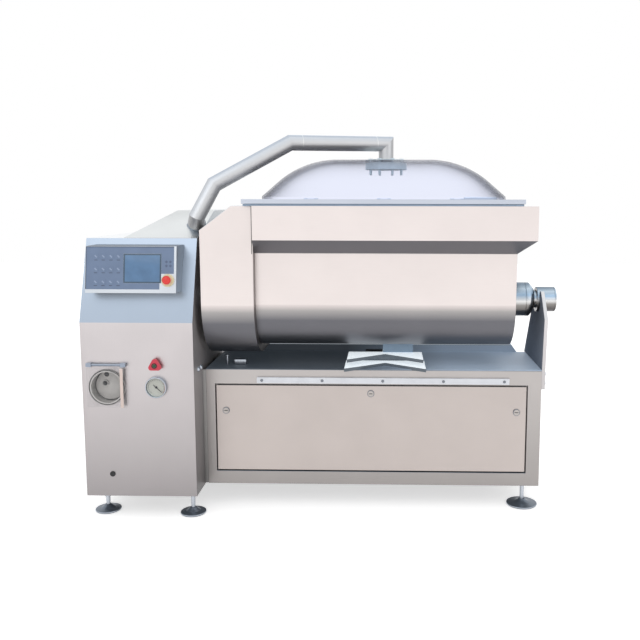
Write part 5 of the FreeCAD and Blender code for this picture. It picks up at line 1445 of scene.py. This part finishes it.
@dataclass
class Lid:
    """Lid frame with the clear dome, clamp rings, bolts and the vacuum pipe; sizes in millimetres."""

    shop: Shop
    hole_radius: float = 37.5
    hole_steps: int = 48
    pipe_bend: tuple[float, float, float] = (-180.5, -197.158, 1781.0)
    pipe_end_rise: float = 1789.0
    ring: Profile = ((37.4, -1.6), (38.1, -1.2), (38.2, 0), (38.1, 1.2), (37.4, 1.6))
    ring_shares: tuple[float, float] = (0.115, 0.885)

    def build(self) -> None:
        """Make every piece of the lid."""
        self.shop.skin("lid_frame", LID_SHEET, 2.2)
        self.dome()
        self.shop.skins(("clamp_rings", CLAMP_STEEL, 1.2), ("lid_bolts", CLAMP_STEEL, 0.8),
                        ("vacuum_pipe", PIPE_STEEL, 0.8), ("hinge_pin", SMALL_STEEL, 1.0))
        self.pipe_rings()

    def dome(self) -> None:
        """Form the clear dome as one smooth closed wall with the pipe's hole in its top."""
        low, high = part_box("lid_dome")
        centre = Vector(((low.x + high.x) / 2, (low.y + high.y) / 2, low.z))
        form = DomeForm((high.x - low.x) / MM / 2, (high.y - low.y) / MM / 2)
        clamp = (middle("clamp_rings") - centre) / MM
        turns = [2 * math.pi * k / self.hole_steps for k in range(self.hole_steps)]
        shape = bmesh.new()
        rims = []
        for wall in (0.0, form.wall):
            rows = [self.ring_of(shape, form.loop(inset), height, centre)
                    for inset, height in form.profile(wall)]
            for first, second in zip(rows, rows[1:]):
                self.shop.bridge(shape, first, second)
            spots = [(clamp.x + self.hole_radius * math.cos(a), clamp.y + self.hole_radius * math.sin(a))
                     for a in turns]
            hole = self.ring_of(shape, spots, form.height - wall, centre)
            self.level_top(shape, rows[-1], hole)
            rims.append((rows[0], hole))
        for first, second in zip(*rims):
            self.shop.bridge(shape, first, second)
        bmesh.ops.remove_doubles(shape, verts=shape.verts, dist=1e-5)
        self.shop.place(self.shop.link("formed_dome", shape, 30.0), "lid_dome", CLEAR_DOME, ["lid_dome"])

    @staticmethod
    def ring_of(shape: bmesh.types.BMesh, spots: Sequence[tuple[float, float]], height: float,
                centre: Vector) -> list[bmesh.types.BMVert]:
        """One ring of the dome's points, given in millimetres from the middle of its foot."""
        return [shape.verts.new(centre + Vector((x, y, height)) * MM) for x, y in spots]

    @staticmethod
    def level_top(shape: bmesh.types.BMesh, outer: Sequence[bmesh.types.BMVert],
                  inner: Sequence[bmesh.types.BMVert]) -> None:
        """Fill the level top between its outer loop and the pipe's hole.

        Args:
            shape: The dome's bmesh.
            outer: Points of the loop where the arc ends.
            inner: Points of the hole.
        """
        edges = [shape.edges.get((first, second)) or shape.edges.new((first, second))
                 for loop in (outer, inner) for first, second in zip(loop, [*loop[1:], loop[0]])]
        bmesh.ops.triangle_fill(shape, use_beauty=True, use_dissolve=False, edges=edges)

    def pipe_rings(self) -> None:
        """Lay the pale weld rings round the level run of the pipe."""
        top = middle("clamp_rings")
        end = Vector((top.x, top.y, self.pipe_end_rise * MM))
        bend = Vector(self.pipe_bend) * MM
        for index, share in enumerate(self.ring_shares):
            piece = self.shop.turned(f"pipe_weld_ring_{index}", self.ring, bend.lerp(end, share),
                                     (end - bend).normalized(), 64)
            self.shop.place(piece, "vacuum_pipe", RING_STEEL)


@dataclass
class Feet:
    """Levelling feet under both halves of the machine."""

    shop: Shop

    def build(self) -> None:
        """Skin the discs and studs."""
        self.shop.skins(("foot_discs", FOOT_STEEL, 1.0), ("foot_studs", SMALL_STEEL, 0.6))


@dataclass
class Studio:
    """Pale floor, soft lamps and the camera of the photograph, in metres, radians, pixels and watts."""

    eye: tuple[float, float, float] = (0.29555, -3.915578, 1.49968)
    yaw: float = -0.0199
    pitch: float = -0.1239
    roll: float = 0.002
    focal_px: float = 750.0
    centre_px: tuple[float, float] = (372.14, 294.41)
    frame_px: float = 640.0
    sensor_mm: float = 36.0
    view_end: float = 60.0
    floor_half: float = 14.0
    floor_colour: str = "F4F4F4"
    floor_rough: float = 0.9
    floor_seen: float = 0.6
    world_light: float = 0.75
    aim: tuple[float, float, float] = (0.1, 0.0, 0.9)
    lamps: tuple[tuple[str, tuple[float, float, float], float, float], ...] = (
        ("key", (-1.6, -3.4, 3.6), 2.6, 18.0), ("fill", (3.0, -2.6, 2.4), 2.4, 8.0),
        ("rear", (0.2, 3.0, 3.2), 2.6, 12.0))

    def build(self) -> None:
        """Set the camera, floor, world and lamps."""
        self.camera()
        self.floor()
        self.world()
        for name, place, size, watts in self.lamps:
            self.lamp(name, place, size, watts)
        bpy.context.scene.view_settings.view_transform = "Standard"

    def camera(self) -> None:
        """Put the camera where the photograph was taken from."""
        forward = Vector((math.sin(self.yaw) * math.cos(self.pitch),
                          math.cos(self.yaw) * math.cos(self.pitch), math.sin(self.pitch)))
        right = Vector((math.cos(self.yaw), -math.sin(self.yaw), 0.0))
        up = right.cross(forward)
        side = right * math.cos(self.roll) + up * math.sin(self.roll)
        top = up * math.cos(self.roll) - right * math.sin(self.roll)
        data = bpy.data.cameras.new("photograph_view")
        data.sensor_width = self.sensor_mm
        data.lens = self.focal_px / self.frame_px * self.sensor_mm
        data.shift_x = (self.frame_px / 2 - self.centre_px[0]) / self.frame_px
        data.shift_y = (self.centre_px[1] - self.frame_px / 2) / self.frame_px
        data.clip_end = self.view_end
        camera = show("photograph_view", data)
        basis = Matrix((side, top, -forward)).transposed().to_4x4()
        camera.matrix_world = Matrix.Translation(Vector(self.eye)) @ basis
        bpy.context.scene.camera = camera

    @staticmethod
    def background_share(tree: bpy.types.NodeTree) -> bpy.types.NodeSocket:
        """Tell the rays that show the background from those that light the machine.

        Args:
            tree: Node tree of the floor or the world.

        Returns:
            Socket that is one for camera, glossy and transmission rays.
        """
        rays = add_node(tree, "ShaderNodeLightPath")
        seen = rays.outputs["Is Camera Ray"]
        for kind in ("Is Glossy Ray", "Is Transmission Ray"):
            seen = add_node(tree, "ShaderNodeMath", {"operation": "ADD", "use_clamp": True},
                            {0: seen, 1: rays.outputs[kind]}).outputs[0]
        return seen

    def floor(self) -> None:
        """Lay a pale floor that keeps a faint shadow."""
        shape = bmesh.new()
        bmesh.ops.create_grid(shape, x_segments=2, y_segments=2, size=self.floor_half)
        floor = show("studio_floor", to_mesh("studio_floor", shape))
        paint = bpy.data.materials.new("matt_white_floor_paint")
        paint.use_nodes = True
        tree = paint.node_tree
        shader = tree.nodes["Principled BSDF"]
        output = next(n for n in tree.nodes if n.type == "OUTPUT_MATERIAL")
        shader.inputs["Base Color"].default_value = linear(self.floor_colour)
        shader.inputs["Roughness"].default_value = self.floor_rough
        white = add_node(tree, "ShaderNodeEmission", {"Color": (1, 1, 1, 1), "Strength": self.floor_seen})
        lit = add_node(tree, "ShaderNodeAddShader", links={0: shader.outputs[0], 1: white.outputs[0]})
        mix = add_node(tree, "ShaderNodeMixShader",
                       links={0: self.background_share(tree), 1: shader.outputs[0], 2: lit.outputs[0]})
        tree.links.new(mix.outputs[0], output.inputs[0])
        floor.data.materials.append(paint)

    def world(self) -> None:
        """Give a soft even light, and plain white where the background is seen."""
        world = bpy.data.worlds.new("soft_white_room")
        bpy.context.scene.world = world
        world.use_nodes = True
        tree = world.node_tree
        tree.nodes.clear()
        soft, white = (add_node(tree, "ShaderNodeBackground", {"Color": (1, 1, 1, 1), "Strength": strength})
                       for strength in (self.world_light, 1.0))
        mix = add_node(tree, "ShaderNodeMixShader",
                       links={0: self.background_share(tree), 1: soft.outputs[0], 2: white.outputs[0]})
        add_node(tree, "ShaderNodeOutputWorld", links={0: mix.outputs[0]})

    def lamp(self, name: str, place: tuple[float, float, float], size: float, watts: float) -> None:
        """Hang a square soft lamp that points at the machine.

        Args:
            name: Name of the lamp.
            place: Middle of the lamp.
            size: Length of its sides.
            watts: Its power.
        """
        data = bpy.data.lights.new(name + "_softbox", "AREA")
        data.size = size
        data.energy = watts
        lamp = show(name + "_softbox", data)
        lamp.location = place
        lamp.rotation_euler = (Vector(self.aim) - Vector(place)).to_track_quat("-Z", "Y").to_euler()


def corners(box: tuple[Vector, Vector]) -> list[list[float]]:
    """A box as plain lists of numbers."""
    return [list(box[0]), list(box[1])]


def main() -> None:
    """Build the scene round the frame, piece by piece."""
    logging.basicConfig(level=logging.INFO, format="%(message)s")
    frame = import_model()
    shop = Shop(frame)
    for part in (Cabinet, OperatorPanel, FrontFittings, Base, EndBearing, Drum, Agitators, Lid, Feet):
        part(shop).build()
    Studio().build()


if __name__ == "__main__":
    main()
